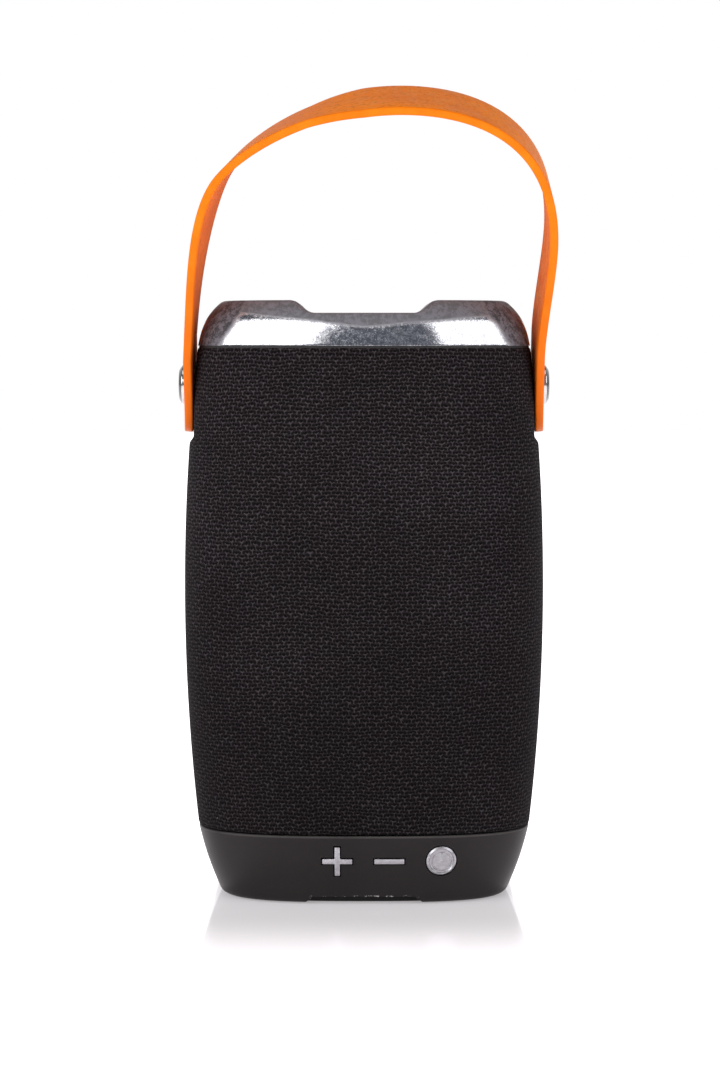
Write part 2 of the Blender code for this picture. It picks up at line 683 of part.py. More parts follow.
def plus_outline(grow=0.0):
    a, b = KEY_ARM / 2 + grow, KEY_SPAN / 2 + grow
    return [(b, -a), (b, a), (a, a), (a, b), (-a, b), (-a, a), (-b, a), (-b, -a), (-a, -a), (-a, -b), (a, -b), (a, -a)]


def minus_outline(grow=0.0):
    a, b = KEY_ARM / 2 + grow, KEY_SPAN / 2 + grow
    return [(b, -a), (b, a), (-b, a), (-b, -a)]


def disc_outline(grow=0.0):
    radius = KEY_SPAN / 2 + grow
    return [(radius * math.cos(a), radius * math.sin(a)) for a in (2 * math.pi * k / 24 for k in range(24))]


KEY_SHAPES = (("plus", plus_outline), ("minus", minus_outline), ("power", disc_outline))


def make_keys(base):
    """Each key passes through the wall, with a flange behind it that bears on a switch's plunger."""
    flange_low, flange_high = BASE_WALL + 0.7 * MM, BASE_WALL + 1.5 * MM
    for number, (name, outline) in enumerate(KEY_SHAPES):
        frame = skin_frame(KEY_FIRST_X + number * KEY_PITCH, KEY_Z)
        boolean(base, prism(name + "_hole", outline(GAP), -2 * MM, 5 * MM, None, frame))
        inward = frame.col[2].to_3d()
        moving = joint_empty(name + "_press", frame.translation, inward)
        key = prism(name + "_key", outline(), -KEY_PROUD, flange_low + 0.2 * MM, "satin_metal", frame, moving)
        flange = turned(name + "_flange", plug(KEY_FLANGE_RADIUS, flange_low, flange_high), sides=16)
        flange.matrix_basis = frame
        boolean(key, flange, "UNION")
        plunger_end = 5.9 * MM
        plunger = turned("plunger_" + name, plug(1.6 * MM, flange_high + GAP, plunger_end), "inner_plastic", sides=10)
        plunger.data.transform(frame)
        plunger.parent = moving
        plunger.matrix_parent_inverse = moving.matrix_basis.inverted()
        half, face = 3 * MM, 5.2 * MM
        reach = (KEY_BOARD_Y - frame.translation.y - half * (abs(inward.x) + abs(inward.z)) - GAP) / inward.y
        switch = cuboid("switch_" + name, (-half, -half, face), (half, half, reach), "inner_plastic", frame)
        bore = turned("bore_" + name, plug(1.9 * MM, 4 * MM, plunger_end + MM), sides=10)
        bore.matrix_basis = frame
        boolean(switch, bore)


# Port cover at the back


def make_port_cover(base):
    frame = skin_frame(0, PORT_Z, back=True)
    w, h = COVER_HALF_WIDTH, COVER_HALF_HEIGHT
    deep = COVER_DEPTH + GAP
    edge = 0.4 * MM
    boolean(base, cuboid("cover_recess", (-w - edge, -h - edge, -5 * MM), (w + edge, h + edge, deep), None, frame))
    usb_hole = ((SOCKET_X - 6.3 * MM, -3.3 * MM, -MM), (SOCKET_X + 6.3 * MM, 3.3 * MM, 6 * MM))
    boolean(base, cuboid("socket_window", *usb_hole, None, frame))
    window = turned("jack_window", plug(3.6 * MM, -MM, 6 * MM), sides=16)
    window.matrix_basis = frame @ Matrix.Translation((JACK_X, 0, 0))
    boolean(base, window)
    hinge = Vector((-w, skin_y(w, PORT_Z), PORT_Z))
    moving = joint_empty("cover_hinge", hinge, frame.col[1].to_3d())
    cover = cuboid("port_cover", (-w, -h, -5 * MM), (w, h, COVER_DEPTH), "rubber", frame, moving)
    outer = add_object("cover_skin", skin(bmesh.new(), [skin_ring(z) for z in heights(MM, BASE_TOP_Z, 4)]))
    boolean(cover, outer, "INTERSECT")
    rib = cuboid("cover_rib", (SOCKET_X - 4 * MM, -2 * MM, MM), (SOCKET_X + 4 * MM, 2 * MM, COVER_DEPTH + 1.1 * MM), None, frame)
    boolean(cover, rib, "UNION")


# Strap


def bezier(start, out, back, end, spans):
    points = []
    for k in range(spans + 1):
        t = k / spans
        u = 1 - t
        points.append(u**3 * start + 3 * u * u * t * out + 3 * u * t * t * back + t**3 * end)
    return points


def strap_line():
    """The outer face's middle line, in the leaning plane: x across, v up from the pivots."""
    left = Vector((-STRAP_OUT, 11 * MM))
    bend = Vector((-39.75 * MM, 60.9 * MM))
    slope = Vector((math.cos(math.radians(56)), math.sin(math.radians(56))))
    apex = Vector((STRAP_APEX_X, STRAP_APEX))
    bulge = Vector((52.7 * MM, 44.3 * MM))
    right = Vector((STRAP_OUT, 11.5 * MM))
    up, across = Vector((0, MM)), Vector((MM, 0))
    line = bezier(left, left + 14 * up + 1.1 * across, bend - 12.8 * MM * slope, bend, 8)
    line += bezier(bend, bend + 8.3 * MM * slope, apex - 26.5 * across, apex, 8)[1:]
    line += bezier(apex, apex + 21.9 * across, bulge + 28.8 * up, bulge, 10)[1:]
    line += bezier(bulge, bulge - 9.2 * up, right + 9.1 * up, right, 4)[1:]
    return line


def tail_stations(x):
    """A round end about the pivot: (point, half width), from the tip up."""
    radius = STRAP_WIDTH / 2
    stations = []
    for angle in (83, 66, 48, 30, 14, 0):
        a = math.radians(angle)
        flare = STRAP_FLARE * math.sin(a) ** 2
        stations.append((Vector((x + math.copysign(flare, x), -radius * math.sin(a))), radius * math.cos(a)))
    return stations


def strap_section(point, tangent, half_width, twist):
    """Eight points round the strap: a flat band with eased edges, its outer face on the line."""
    ease = min(0.5 * MM, half_width / 3)
    inward = Vector((tangent.y, -tangent.x))
    ring = []
    for across, depth in (
        (-half_width + ease, 0), (half_width - ease, 0), (half_width, ease),
        (half_width, STRAP_THICKNESS - ease), (half_width - ease, STRAP_THICKNESS),
        (-half_width + ease, STRAP_THICKNESS), (-half_width, STRAP_THICKNESS - ease), (-half_width, ease),
    ):
        swung = across * math.cos(twist)
        lift = depth - across * math.sin(twist)
        ring.append((point.x + inward.x * lift, -swung, point.y + inward.y * lift))
    return ring


def make_strap():
    """The band leans by LEAN about the pivots' line. Its left shoulder is twisted a little."""
    half = STRAP_WIDTH / 2
    line = [(point, half) for point in strap_line()]
    stations = tail_stations(-STRAP_OUT) + line + list(reversed(tail_stations(STRAP_OUT)))
    rings = []
    for k, (point, half_width) in enumerate(stations):
        before = stations[max(k - 1, 0)][0]
        after = stations[min(k + 1, len(stations) - 1)][0]
        off = (point.y - TWIST_V) / TWIST_SPREAD
        shoulder = math.exp(-off * off / 2) if point.x < 0 else 0
        fade = min(max(-point.x / (15 * MM), 0), 1)
        rings.append(strap_section(point, (after - before).normalized(), half_width, SHOULDER_TWIST * shoulder * fade))
    moving = joint_empty("strap_hinge", (0, 0, PIVOT_Z), (1, 0, 0))
    bm = skin(bmesh.new(), rings)
    bm.transform(Matrix.Translation((0, 0, PIVOT_Z)) @ Matrix.Rotation(LEAN, 4, "X"))
    strap = add_object("strap", bm, "orange_strap", moving)
    hole = plug(SHOULDER_RADIUS + GAP, -FAR, FAR)
    boolean(strap, turned("strap_holes", hole, None, (0, 0, PIVOT_Z), (1, 0, 0), 16))


def make_strap_hardware():
    head_low = STRAP_OUT + 0.2 * MM
    head_high = head_low + 1.9 * MM
    chamfer = 1.0 * MM
    thread_end = 45.3 * MM
    for name, side in (("left", -1), ("right", 1)):
        place, axis = (0, 0, PIVOT_Z), (side, 0, 0)
        turned("strap_screw_" + name, [
            (0, 37.5 * MM), (1.9 * MM, 37.5 * MM), (1.9 * MM, thread_end), (SHOULDER_RADIUS, thread_end),
            (SHOULDER_RADIUS, head_low), (SCREW_HEAD_RADIUS, head_low), (SCREW_HEAD_RADIUS, head_high - chamfer),
            (SCREW_FACE_RADIUS, head_high), (0, head_high),
        ], "satin_metal", place, axis, 20)
        bush = tube(SHOULDER_RADIUS + GAP, 5.0 * MM, 45.5 * MM, SEAT_X)
        turned("pivot_bush_" + name, bush, "brass", place, axis, 16)
        insert = tube(2.2 * MM, 3.2 * MM, 37 * MM, 45 * MM)
        turned("threaded_insert_" + name, insert, "brass", place, axis, 12)


def clear_scene():
    for old in list(bpy.data.objects):
        bpy.data.objects.remove(old)


def main():
    clear_scene()
    make_sleeve()
    make_hem_ring()
    make_top_deck()
    make_cap()
    base = make_base_shell()
    make_foot_pad()
    make_base_screws()
    make_housing()
    make_driver()
    make_guard("driver_guard", -1)
    make_radiator()
    make_guard("radiator_guard", 1)
    make_battery()
    make_boards()
    make_lead("speaker_lead", 1, "rubber")
    make_lead("battery_lead", -1, "rubber")
    make_keys(base)
    make_port_cover(base)
    make_strap()
    make_strap_hardware()


main()
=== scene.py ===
"""The looks of a portable loudspeaker.

It has a knit barrel, a polished cap, a moulded base, metal keys and a leather strap.
Metres, +Z up, the front faces -Y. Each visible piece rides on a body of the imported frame.
"""

import json
import math

import bmesh
import bpy
from mathutils import Matrix, Vector


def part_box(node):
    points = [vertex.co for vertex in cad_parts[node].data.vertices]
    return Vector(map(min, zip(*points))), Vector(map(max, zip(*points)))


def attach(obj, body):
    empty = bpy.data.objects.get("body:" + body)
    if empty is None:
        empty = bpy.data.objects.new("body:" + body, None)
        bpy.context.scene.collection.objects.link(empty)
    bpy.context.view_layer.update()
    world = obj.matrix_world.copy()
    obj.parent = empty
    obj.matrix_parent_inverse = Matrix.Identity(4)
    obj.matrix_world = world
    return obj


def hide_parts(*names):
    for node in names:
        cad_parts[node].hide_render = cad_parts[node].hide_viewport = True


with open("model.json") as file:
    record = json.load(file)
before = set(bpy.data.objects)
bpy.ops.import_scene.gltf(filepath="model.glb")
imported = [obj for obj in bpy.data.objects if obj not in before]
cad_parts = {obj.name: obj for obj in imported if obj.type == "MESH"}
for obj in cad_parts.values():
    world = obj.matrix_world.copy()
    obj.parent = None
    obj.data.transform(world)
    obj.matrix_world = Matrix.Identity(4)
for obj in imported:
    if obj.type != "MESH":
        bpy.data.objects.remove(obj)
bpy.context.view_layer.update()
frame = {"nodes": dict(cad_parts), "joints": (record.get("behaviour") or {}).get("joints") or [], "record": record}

MM = 0.001
FAR = 80 * MM  # past the speaker on any side

# The body's skin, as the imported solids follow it: a superellipse that changes with height.
# A lean narrows it by a share of the height passed; a curl does so by its square or cube.
SECTION_POWER = 3.0
HALF_WIDTH = 50.5 * MM
HALF_DEPTH = 31.0 * MM
WIDEST_Z = 85.0 * MM
UPPER_RADIUS = 600 * MM
LOWER_RADIUS = 580 * MM
CAP_LEAN = 0.2
CAP_CURL = 2350.0  # per square metre
CAP_DEPTH_LEAN = 0.16
CAP_DEPTH_CURL = 1070.0  # per square metre
BASE_LEAN = 0.206
BASE_CURL = 6.6  # per metre
BARREL_DEPTH_SHARE = 0.8
BASE_DEPTH_SHARE = 0.56
SEAM_Z = 19.8 * MM
RIM_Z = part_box("top_cap")[0].z
CAP_TOP_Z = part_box("top_cap")[1].z
SLEEVE_LOW, SLEEVE_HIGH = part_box("fabric_sleeve")[0].z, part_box("fabric_sleeve")[1].z
BASE_BOTTOM_Z, BASE_TOP_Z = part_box("base_shell")[0].z, SEAM_Z - 0.2 * MM
AROUND = 168  # points round a section

# Cap. Its saddle is a shallow trough from front to back.
CAP_WALL = 1.3 * MM
SADDLE_FLOOR = 28.8 * MM
SADDLE_MOUTH = 39.2 * MM
SADDLE_DEPTH = 3.5 * MM

# Knit: one column is a stitch's width, one course is the height of two staggered rows.
KNIT_COLUMN = 2.95 * MM
KNIT_COURSE = 2.1 * MM
KNIT_GAPS = ((0.60, -0.42), (0.0, 0.56))  # millimetres beside and above the fork
KNIT_STEM, KNIT_ARM = 0.9, (0.98, 0.72)  # the fork's parts, in millimetres

# Flat seats in the sleeve's sides, where the strap's ends turn
SEAT_X = 47.3 * MM
SEAT_HALF_HEIGHT = 13.2 * MM
SEAT_FADE = 3.2 * MM

# Base and keys
BASE_WALL = 2.6 * MM
BASE_FLOOR = 4.0 * MM
CLEARANCE = 0.3 * MM  # round the pad, the cover and the screws
NOTCH_FLOOR = 28.0 * MM
NOTCH_MOUTH = 33.0 * MM
NOTCH_DEPTH = 1.9 * MM
PAD_HALF_WIDTH = 35.5 * MM
PAD_HALF_DEPTH = 20.5 * MM
PAD_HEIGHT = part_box("foot_pad")[1].z
KEY_Z = 12.5 * MM
KEY_FIRST_X = -7.4 * MM
KEY_PITCH = 14.35 * MM
KEY_SPAN = 8.3 * MM
KEY_ARM = 1.5 * MM
KEY_PROUD = 0.35 * MM
KEY_GAP = 0.28 * MM

# Sockets and their cover, at the back
PORT_Z = 10.6 * MM
SOCKET_X = 7.0 * MM
SOCKET_HALF_WIDTH = 6.3 * MM
SOCKET_HALF_HEIGHT = 3.3 * MM
JACK_X = -8.0 * MM
JACK_RADIUS = 3.6 * MM
COVER_HALF_WIDTH = 17.0 * MM
COVER_HALF_HEIGHT = 5.0 * MM
COVER_CORNER = 1.2 * MM
COVER_DEPTH = 1.6 * MM

# Strap. It leans back from its pivots, and its left shoulder is twisted a little.
PIVOT_Z = [j for j in frame["joints"] if j["name"] == "handle_hinge"][0]["pos_m"][2]
LEAN = math.radians(18.2)
STRAP_WIDTH = 26.0 * MM
STRAP_THICKNESS = 2.3 * MM
STRAP_OUT = 49.9 * MM
STRAP_FLARE = 0.7 * MM
STRAP_APEX = 82.5 * MM
STRAP_APEX_X = 10.0 * MM
SHOULDER_TWIST = math.radians(8.5)
TWIST_V = 58.4 * MM
TWIST_SPREAD = 20.0 * MM

# Screws, out from the middle of the speaker
SHANK_RADIUS = 1.9 * MM
SHANK_START = 37.5 * MM
SHOULDER_RADIUS = 3.0 * MM
SHOULDER_START = 45.3 * MM
SCREW_HEAD_RADIUS = 5.65 * MM
SCREW_HEAD_HEIGHT = 1.9 * MM
SCREW_FACE_RADIUS = 4.1 * MM
SCREW_SOCKET_RADIUS = 2.3 * MM
SCREW_SOCKET_DEPTH = 1.2 * MM


# Shader graphs


class Nodes:
    """A node tree, with one short call for each kind of node that is used here."""

    def __init__(self, tree):
        self.tree = tree

    def join(self, socket, value):
        """Links a socket to another, or sets its value."""
        if isinstance(value, bpy.types.NodeSocket):
            self.tree.links.new(value, socket)
        else:
            socket.default_value = value

    def node(self, kind, inputs=(), **settings):
        made = self.tree.nodes.new("ShaderNode" + kind)
        for key, value in settings.items():
            setattr(made, key, value)
        for key, value in dict(inputs).items():
            self.join(made.inputs[key], value)
        return made

    def math(self, operation, a, b=None, clamp=False):
        inputs = {0: a} if b is None else {0: a, 1: b}
        return self.node("Math", inputs, operation=operation, use_clamp=clamp).outputs[0]

    def add(self, a, b):
        return self.math("ADD", a, b)

    def minus(self, a, b):
        return self.math("SUBTRACT", a, b)

    def times(self, a, b):
        return self.math("MULTIPLY", a, b)

    def magnitude(self, a):
        return self.math("ABSOLUTE", a)

    def square(self, a):
        return self.math("POWER", a, 2.0)

    def between(self, value, low, high, to_low=0.0, to_high=1.0):
        """A smooth step: to_low at low, to_high at high, level beyond them."""
        inputs = {
            "Value": value,
            "From Min": low,
            "From Max": high,
            "To Min": to_low,
            "To Max": to_high,
        }
        return self.node("MapRange", inputs, interpolation_type="SMOOTHSTEP").outputs[0]

    def mix(self, share, a, b, blend="MIX"):
        """Colour a where share is 0, and b where it is 1."""
        made = self.node("Mix", data_type="RGBA", blend_type=blend)
        a, b = (x if isinstance(x, bpy.types.NodeSocket) else (*x, 1) for x in (a, b))
        self.join(made.inputs["Factor"], share)
        self.join(made.inputs[6], a)
        self.join(made.inputs[7], b)
        return made.outputs[2]

    def split(self, vector):
        return self.node("SeparateXYZ", {0: vector}).outputs


class Graph(Nodes):
    """A material's nodes. Constants set sockets of its shader, with underscores for spaces."""

    def __init__(self, name, **constants):
        self.material = bpy.data.materials.new(name)
        self.material.use_nodes = True
        super().__init__(self.material.node_tree)
        self.shader = self.tree.nodes["Principled BSDF"]
        for socket, value in constants.items():
            self.plug(socket.replace("_", " "), value)

    def plug(self, socket, value):
        self.join(self.shader.inputs[socket], value)

    def place(self):
        return self.node("TexCoord").outputs["Object"]

    def uv(self, name):
        return self.node("UVMap", uv_map=name).outputs[0]

    def noise(self, scale, detail=2.0, rough=0.5, vector=None, stretch=None):
        vector = vector or self.place()
        if stretch:
            vector = self.node("Mapping", {"Vector": vector, "Scale": stretch}).outputs[0]
        inputs = {"Vector": vector, "Scale": scale, "Detail": detail, "Roughness": rough}
        return self.node("TexNoise", inputs).outputs["Fac"]

    def sway(self, value, noise, amount):
        """The value, moved up or down by the noise by half the amount at most."""
        return self.add(value, self.times(self.minus(noise, 0.5), amount))

    def cells(self, scale, feature="F1"):
        inputs = {"Vector": self.place(), "Scale": scale}
        return self.node("TexVoronoi", inputs, feature=feature).outputs["Distance"]

    def bump(self, height, distance, strength=1.0, under=None):
        inputs = {"Height": height, "Distance": distance, "Strength": strength}
        if under:
            inputs["Normal"] = under
        return self.node("Bump", inputs).outputs[0]


def knit_material():
    """Staggered stitches. Each is a yarn forked like a Y, over gaps darkened with painted shade."""
    g = Graph("dark_knit", Roughness=0.8, Specular_IOR_Level=0.06)
    u, v, _ = g.split(g.uv("knit"))
    u = g.sway(g.sway(u, g.noise(55, 2), 0.7), g.noise(330, 1), 0.55)
    v = g.sway(g.sway(v, g.noise(42, 2), 1.1), g.noise(380, 1), 0.65)
    yarns, gaps = [], []
    for shift in (0.0, 0.5):
        across = g.minus(g.math("FRACT", g.add(u, shift)), 0.5)
        across = g.times(g.magnitude(across), KNIT_COLUMN / MM)
        up = g.minus(g.math("FRACT", g.add(v, shift)), 0.5)
        up = g.times(up, KNIT_COURSE / MM)
        yarns.append(fork_distance(g, across, up))
        gaps += [gap_distance(g, across, up, x, y) for x, y in KNIT_GAPS]
    yarn = g.math("MINIMUM", *yarns)
    gap = g.math("MINIMUM", g.math("MINIMUM", *gaps[:2]), g.math("MINIMUM", *gaps[2:]))
    fibres = g.noise(3000, 3, 0.65)
    stitch = g.noise(480, 1, 0.5)
    thickness = g.between(stitch, 0.25, 0.75, 0.23, 0.31)
    height = g.math("SUBTRACT", 1.0, g.math("DIVIDE", yarn, thickness), clamp=True)
    height = g.times(height, g.minus(2.0, height))
    pit = g.between(gap, 0.26, 0.64, 1.0, 0.0)
    light = g.times(height, g.between(stitch, 0.25, 0.75, 0.7, 1.05))
    light = g.times(light, g.between(fibres, 0.25, 0.75, 0.55, 1.3))
    fuzz = g.between(fibres, 0.3, 0.75)
    ground = g.mix(fuzz, (0.0095, 0.0070, 0.0082), (0.0210, 0.0168, 0.0190))
    warmth = g.between(g.noise(110, 2), 0.38, 0.62)
    colour = g.mix(light, ground, g.mix(warmth, (0.058, 0.0465, 0.051), (0.051, 0.0455, 0.049)))
    # Painted shade: the gaps between the yarns are darkened to near black.
    colour = g.mix(g.times(pit, 0.9), colour, (0.0006, 0.0003, 0.0004))
    # Painted light and shade: the knit is darker towards the bottom and lighter towards the top, as the light
    # falls, under a patchy tone.
    painted_light_fall = g.between(g.split(g.place())[2], 20 * MM, 150 * MM, 0.82, 1.1)
    patchy_and_painted_light = g.times(g.between(g.noise(28, 3, 0.6), 0.35, 0.75, 0.85, 1.2), painted_light_fall)
    dimming = g.node("CombineColor", {0: patchy_and_painted_light, 1: patchy_and_painted_light, 2: patchy_and_painted_light}).outputs[0]
    lint = g.between(g.noise(700, 2, 0.5), 0.775, 0.80, 0.0, 0.5)
    colour = g.mix(1.0, colour, dimming, "MULTIPLY")
    g.plug("Base Color", g.mix(lint, colour, (0.13, 0.12, 0.12)))
    relief = g.minus(g.times(height, 0.8), g.times(pit, 0.8))
    relief = g.add(relief, g.times(fibres, 0.3))
    g.plug("Normal", g.bump(relief, 0.2 * MM))
    return g.material


def fork_distance(g, across, up):
    """Millimetres from a stitch's yarn: a stem below the fork and an arm on each side."""
    arm_x, arm_y = KNIT_ARM
    below = g.math("MINIMUM", g.math("MAXIMUM", up, -KNIT_STEM), 0.0)
    to_stem = g.add(g.square(across), g.square(g.minus(up, below)))
    to_stem = g.add(g.times(to_stem, 1.5), g.times(below, -0.02))
    along = g.add(g.times(across, arm_x), g.times(up, arm_y))
    along = g.math("DIVIDE", along, arm_x**2 + arm_y**2, clamp=True)
    dx = g.minus(across, g.times(along, arm_x))
    dy = g.minus(up, g.times(along, arm_y))
    to_arm = g.add(g.square(dx), g.square(dy))
    return g.math("SQRT", g.math("MINIMUM", to_stem, to_arm))


def gap_distance(g, across, up, x, y):
    """Millimetres from a small flattened gap at x, y beside the fork."""
    dx = g.minus(across, x)
    dy = g.times(g.minus(up, y), 1.35)
    return g.math("SQRT", g.add(g.square(dx), g.square(dy)))


def leather_material(name, tone, deep, roughness, grain=1.0):
    """Grained leather: creases, pores and cloudy colour, with pale rubbing towards the right."""
    g = Graph(name, Specular_IOR_Level=0.04)
    clouds = g.noise(70, 4, 0.6)
    fine = g.noise(900, 4, 0.6)
    pores = g.cells(1500)
    creases = g.cells(620, feature="DISTANCE_TO_EDGE")
    colour = g.mix(g.between(clouds, 0.3, 0.75), deep, tone)
    dusty = g.between(g.split(g.place())[0], -22 * MM, 8 * MM, 0.1, 1.0)
    rubbed = g.times(g.between(g.noise(200, 5, 0.75), 0.40, 0.62), dusty)
    rubbed = g.times(rubbed, g.between(fine, 0.40, 0.60, 0.1, 0.75))
    colour = g.mix(rubbed, colour, (0.86, 0.30, 0.075))
    flecks = g.between(g.noise(820, 4, 0.75), 0.50, 0.64, 0.0, 0.6)
    colour = g.mix(flecks, colour, [c * 0.70 for c in deep])
    colour = g.mix(g.between(pores, 0.0, 0.18, 0.35, 0.0), colour, [c * 0.45 for c in deep])
    g.plug("Base Color", colour)
    g.plug("Roughness", g.between(clouds, 0.2, 0.8, roughness - 0.08, roughness + 0.1))
    relief = g.add(g.times(g.between(creases, 0.0, 0.12), 0.6), g.times(fine, 0.6))
    g.plug("Normal", g.bump(relief, 0.022 * MM * grain, 0.7))
    return g.material


def edge_material():
    """The painted cut edge: smooth and bright, with the layers just showing along it, and
    redder towards the ends."""
    g = Graph("strap_edge_paint", Roughness=0.42, Specular_IOR_Level=0.09)
    drift = g.noise(160, 4, 0.6)
    layers = g.noise(90, 3, 0.6, vector=g.uv("strap"), stretch=(6, 60, 1))
    colour = g.mix(g.between(drift, 0.3, 0.8), (0.78, 0.168, 0.002), (0.87, 0.208, 0.004))
    colour = g.mix(g.between(layers, 0.5, 0.8, 0.0, 0.35), colour, (0.62, 0.115, 0.004))
    _, _, z = g.split(g.place())
    # Darker and redder towards the pivots.
    near_pivots = g.between(z, PIVOT_Z - 10 * MM, PIVOT_Z + 50 * MM, 0.75, 0.0)
    colour = g.mix(near_pivots, colour, (0.70, 0.122, 0.007))
    g.plug("Base Color", colour)
    g.plug("Normal", g.bump(g.noise(700, 3), 0.04 * MM, 0.5))
    return g.material


def chrome_material():
    """Polished plating with wiped smears and fine specks. A painted dark reflection, a dull dark layer, covers it
    along the top and at the corners, but not at the sides' lower edges."""
    g = Graph("polished_chrome", Specular_IOR_Level=0.15)
    x, _, z = g.split(g.place())
    side = g.magnitude(x)
    height = g.minus(z, RIM_Z)
    smears = g.noise(60, 5, 0.65, stretch=(1, 1, 2.2))
    specks = g.noise(2100, 4, 0.8)
    mottle = g.noise(620, 4, 0.75)

    # Painted dark reflection: a dull dark layer along the top and at the corners.
    out = g.add(side, g.times(height, 0.65))
    corner = g.between(g.add(out, g.times(smears, 3 * MM)), 39.5 * MM, 42.5 * MM)
    droop = g.add(g.times(side, 0.11), g.times(x, -0.012))
    level = g.minus(g.add(z, g.times(smears, 1.4 * MM)), droop)
    top = g.between(level, RIM_Z + 4.8 * MM, RIM_Z + 6.2 * MM)
    painted_dark_reflection = g.math("MAXIMUM", corner, g.times(top, 0.9))
    over = g.math("MAXIMUM", height, 0.0)
    curl = g.times(g.math("POWER", over, 3.0), CAP_CURL)
    skirt = g.add(g.add(side, curl), g.times(over, CAP_LEAN))
    bare = g.between(skirt, 45.3 * MM, 45.9 * MM)
    bare = g.times(bare, g.between(over, 6 * MM, 8 * MM, 1.0, 0.0))
    painted_dark_reflection = g.times(painted_dark_reflection, g.minus(1.0, g.times(bare, 0.85)))

    grime = g.sway(specks, mottle, 0.8)
    dots = g.between(grime, 0.44, 0.58)
    scratches = g.between(grime, 0.46, 0.34)
    colour = g.mix(g.between(smears, 0.35, 0.8), (0.80, 0.80, 0.82), (0.66, 0.65, 0.66))
    colour = g.mix(g.times(dots, 0.65), colour, (0.24, 0.235, 0.275))
    # The mottled tone of the painted dark reflection.
    painted_dark_tone = g.between(g.add(mottle, g.times(specks, 0.8)), 0.82, 0.98)
    painted_dark_tone = g.mix(painted_dark_tone, (0.012, 0.0125, 0.016), (0.128, 0.126, 0.146))
    g.plug("Base Color", g.mix(g.times(painted_dark_reflection, 0.95), colour, painted_dark_tone))
    g.plug("Metallic", g.minus(1.0, g.times(painted_dark_reflection, 0.85)))
    rough = g.add(g.between(smears, 0.35, 0.75, 0.03, 0.08), g.times(scratches, 0.13))
    g.plug("Roughness", g.add(rough, g.times(painted_dark_reflection, 0.40)))
    waves = g.bump(g.noise(70, 2), 0.2 * MM, 0.15)
    g.plug("Normal", g.bump(specks, 0.02 * MM, 0.6, waves))
    return g.material


def satin_material():
    """Brushed and blasted metal."""
    g = Graph("satin_metal", Metallic=1.0)
    brushed = g.noise(1300, 4, 0.6, stretch=(0.5, 1, 1))
    specks = g.noise(2600, 2)
    tone = g.between(brushed, 0.3, 0.7)
    g.plug("Base Color", g.mix(tone, (0.40, 0.385, 0.41), (0.52, 0.505, 0.535)))
    g.plug("Roughness", g.between(brushed, 0.2, 0.8, 0.26, 0.44))
    relief = g.add(brushed, g.times(specks, 0.5))
    g.plug("Normal", g.bump(relief, 0.02 * MM, 0.6))
    return g.material


def screw_material():
    """Bright plated steel with fine turning marks, and a painted dark reflection on the head's chamfer."""
    g = Graph("screw_plating", Metallic=1.0)
    marks = g.noise(1500, 3, 0.6, stretch=(3, 0.6, 0.6))
    _, y, z = g.split(g.place())
    radius = g.math("SQRT", g.add(g.square(y), g.square(g.minus(z, PIVOT_Z))))
    inner, outer = SCREW_FACE_RADIUS, SCREW_HEAD_RADIUS
    # Painted dark reflection: the head's chamfer is darkened to near black.
    painted_dark_chamfer = g.between(radius, inner - 0.8 * MM, inner - 0.4 * MM)
    painted_dark_chamfer = g.times(painted_dark_chamfer, g.between(radius, outer - 0.22 * MM, outer - 0.06 * MM, 1.0, 0.0))
    plating = g.mix(g.between(marks, 0.3, 0.7), (0.50, 0.485, 0.48), (0.64, 0.625, 0.62))
    g.plug("Base Color", g.mix(g.times(painted_dark_chamfer, 0.92), plating, (0.045, 0.042, 0.040)))
    g.plug("Roughness", g.between(marks, 0.2, 0.8, 0.10, 0.20))
    g.plug("Normal", g.bump(marks, 0.012 * MM, 0.5))
    return g.material


def base_material():
    """Moulded soft-touch plastic: a fine spark texture, a painted highlight along the upper rim, and the front
    notch's edge rubbed in places."""
    g = Graph("base_plastic", Specular_IOR_Level=0.16)
    x, y, z = g.split(g.place())
    grain = g.noise(2400, 3, 0.6)
    clouds = g.noise(45, 3, 0.6)
    tone = g.between(clouds, 0.3, 0.75)
    colour = g.mix(tone, (0.0150, 0.0122, 0.0125), (0.0195, 0.0162, 0.0165))
    colour = g.mix(g.between(grain, 0.55, 0.8, 0.0, 0.4), colour, (0.036, 0.031, 0.031))
    # Painted highlight: a pale line along the upper edge.
    rim = g.between(z, BASE_TOP_Z - 0.75 * MM, BASE_TOP_Z - 0.2 * MM)
    rim = g.times(rim, g.between(clouds, 0.3, 0.6, 0.25, 0.6))
    colour = g.mix(rim, colour, (0.095, 0.086, 0.084))
    low = g.between(z, 2.3 * MM, 2.75 * MM, 1.0, 0.0)
    middle = g.between(g.magnitude(x), 13.5 * MM, 15.5 * MM, 1.0, 0.0)
    front = g.between(y, -23 * MM, -22 * MM, 1.0, 0.0)
    rubbed = g.times(g.times(low, middle), front)
    rubbed = g.times(rubbed, g.between(g.noise(900, 4, 0.7), 0.52, 0.62))
    g.plug("Base Color", g.mix(rubbed, colour, (0.38, 0.36, 0.35)))
    g.plug("Roughness", g.between(clouds, 0.2, 0.8, 0.40, 0.52))
    g.plug("Normal", g.bump(grain, 0.035 * MM, 0.6))
    return g.material


def grained_material(
    name, colour, lighter, roughness, metallic=0.0, scale=1800, relief=0.03, stretch=None
):
    """A moulded, cast, turned or printed surface: cloudy colour, a grain and uneven gloss."""
    g = Graph(name, Metallic=metallic)
    clouds = g.noise(80, 3, 0.6)
    grain = g.noise(scale, 3, 0.6, stretch=stretch)
    tone = g.mix(g.between(clouds, 0.3, 0.75), colour, lighter)
    bright = [min(1, c * 1.5) for c in lighter]
    g.plug("Base Color", g.mix(g.between(grain, 0.5, 0.8, 0.0, 0.4), tone, bright))
    g.plug("Roughness", g.between(grain, 0.2, 0.8, roughness - 0.07, roughness + 0.07))
    g.plug("Normal", g.bump(grain, relief * MM, 0.6))
    return g.material


# Geometry shared by the pieces


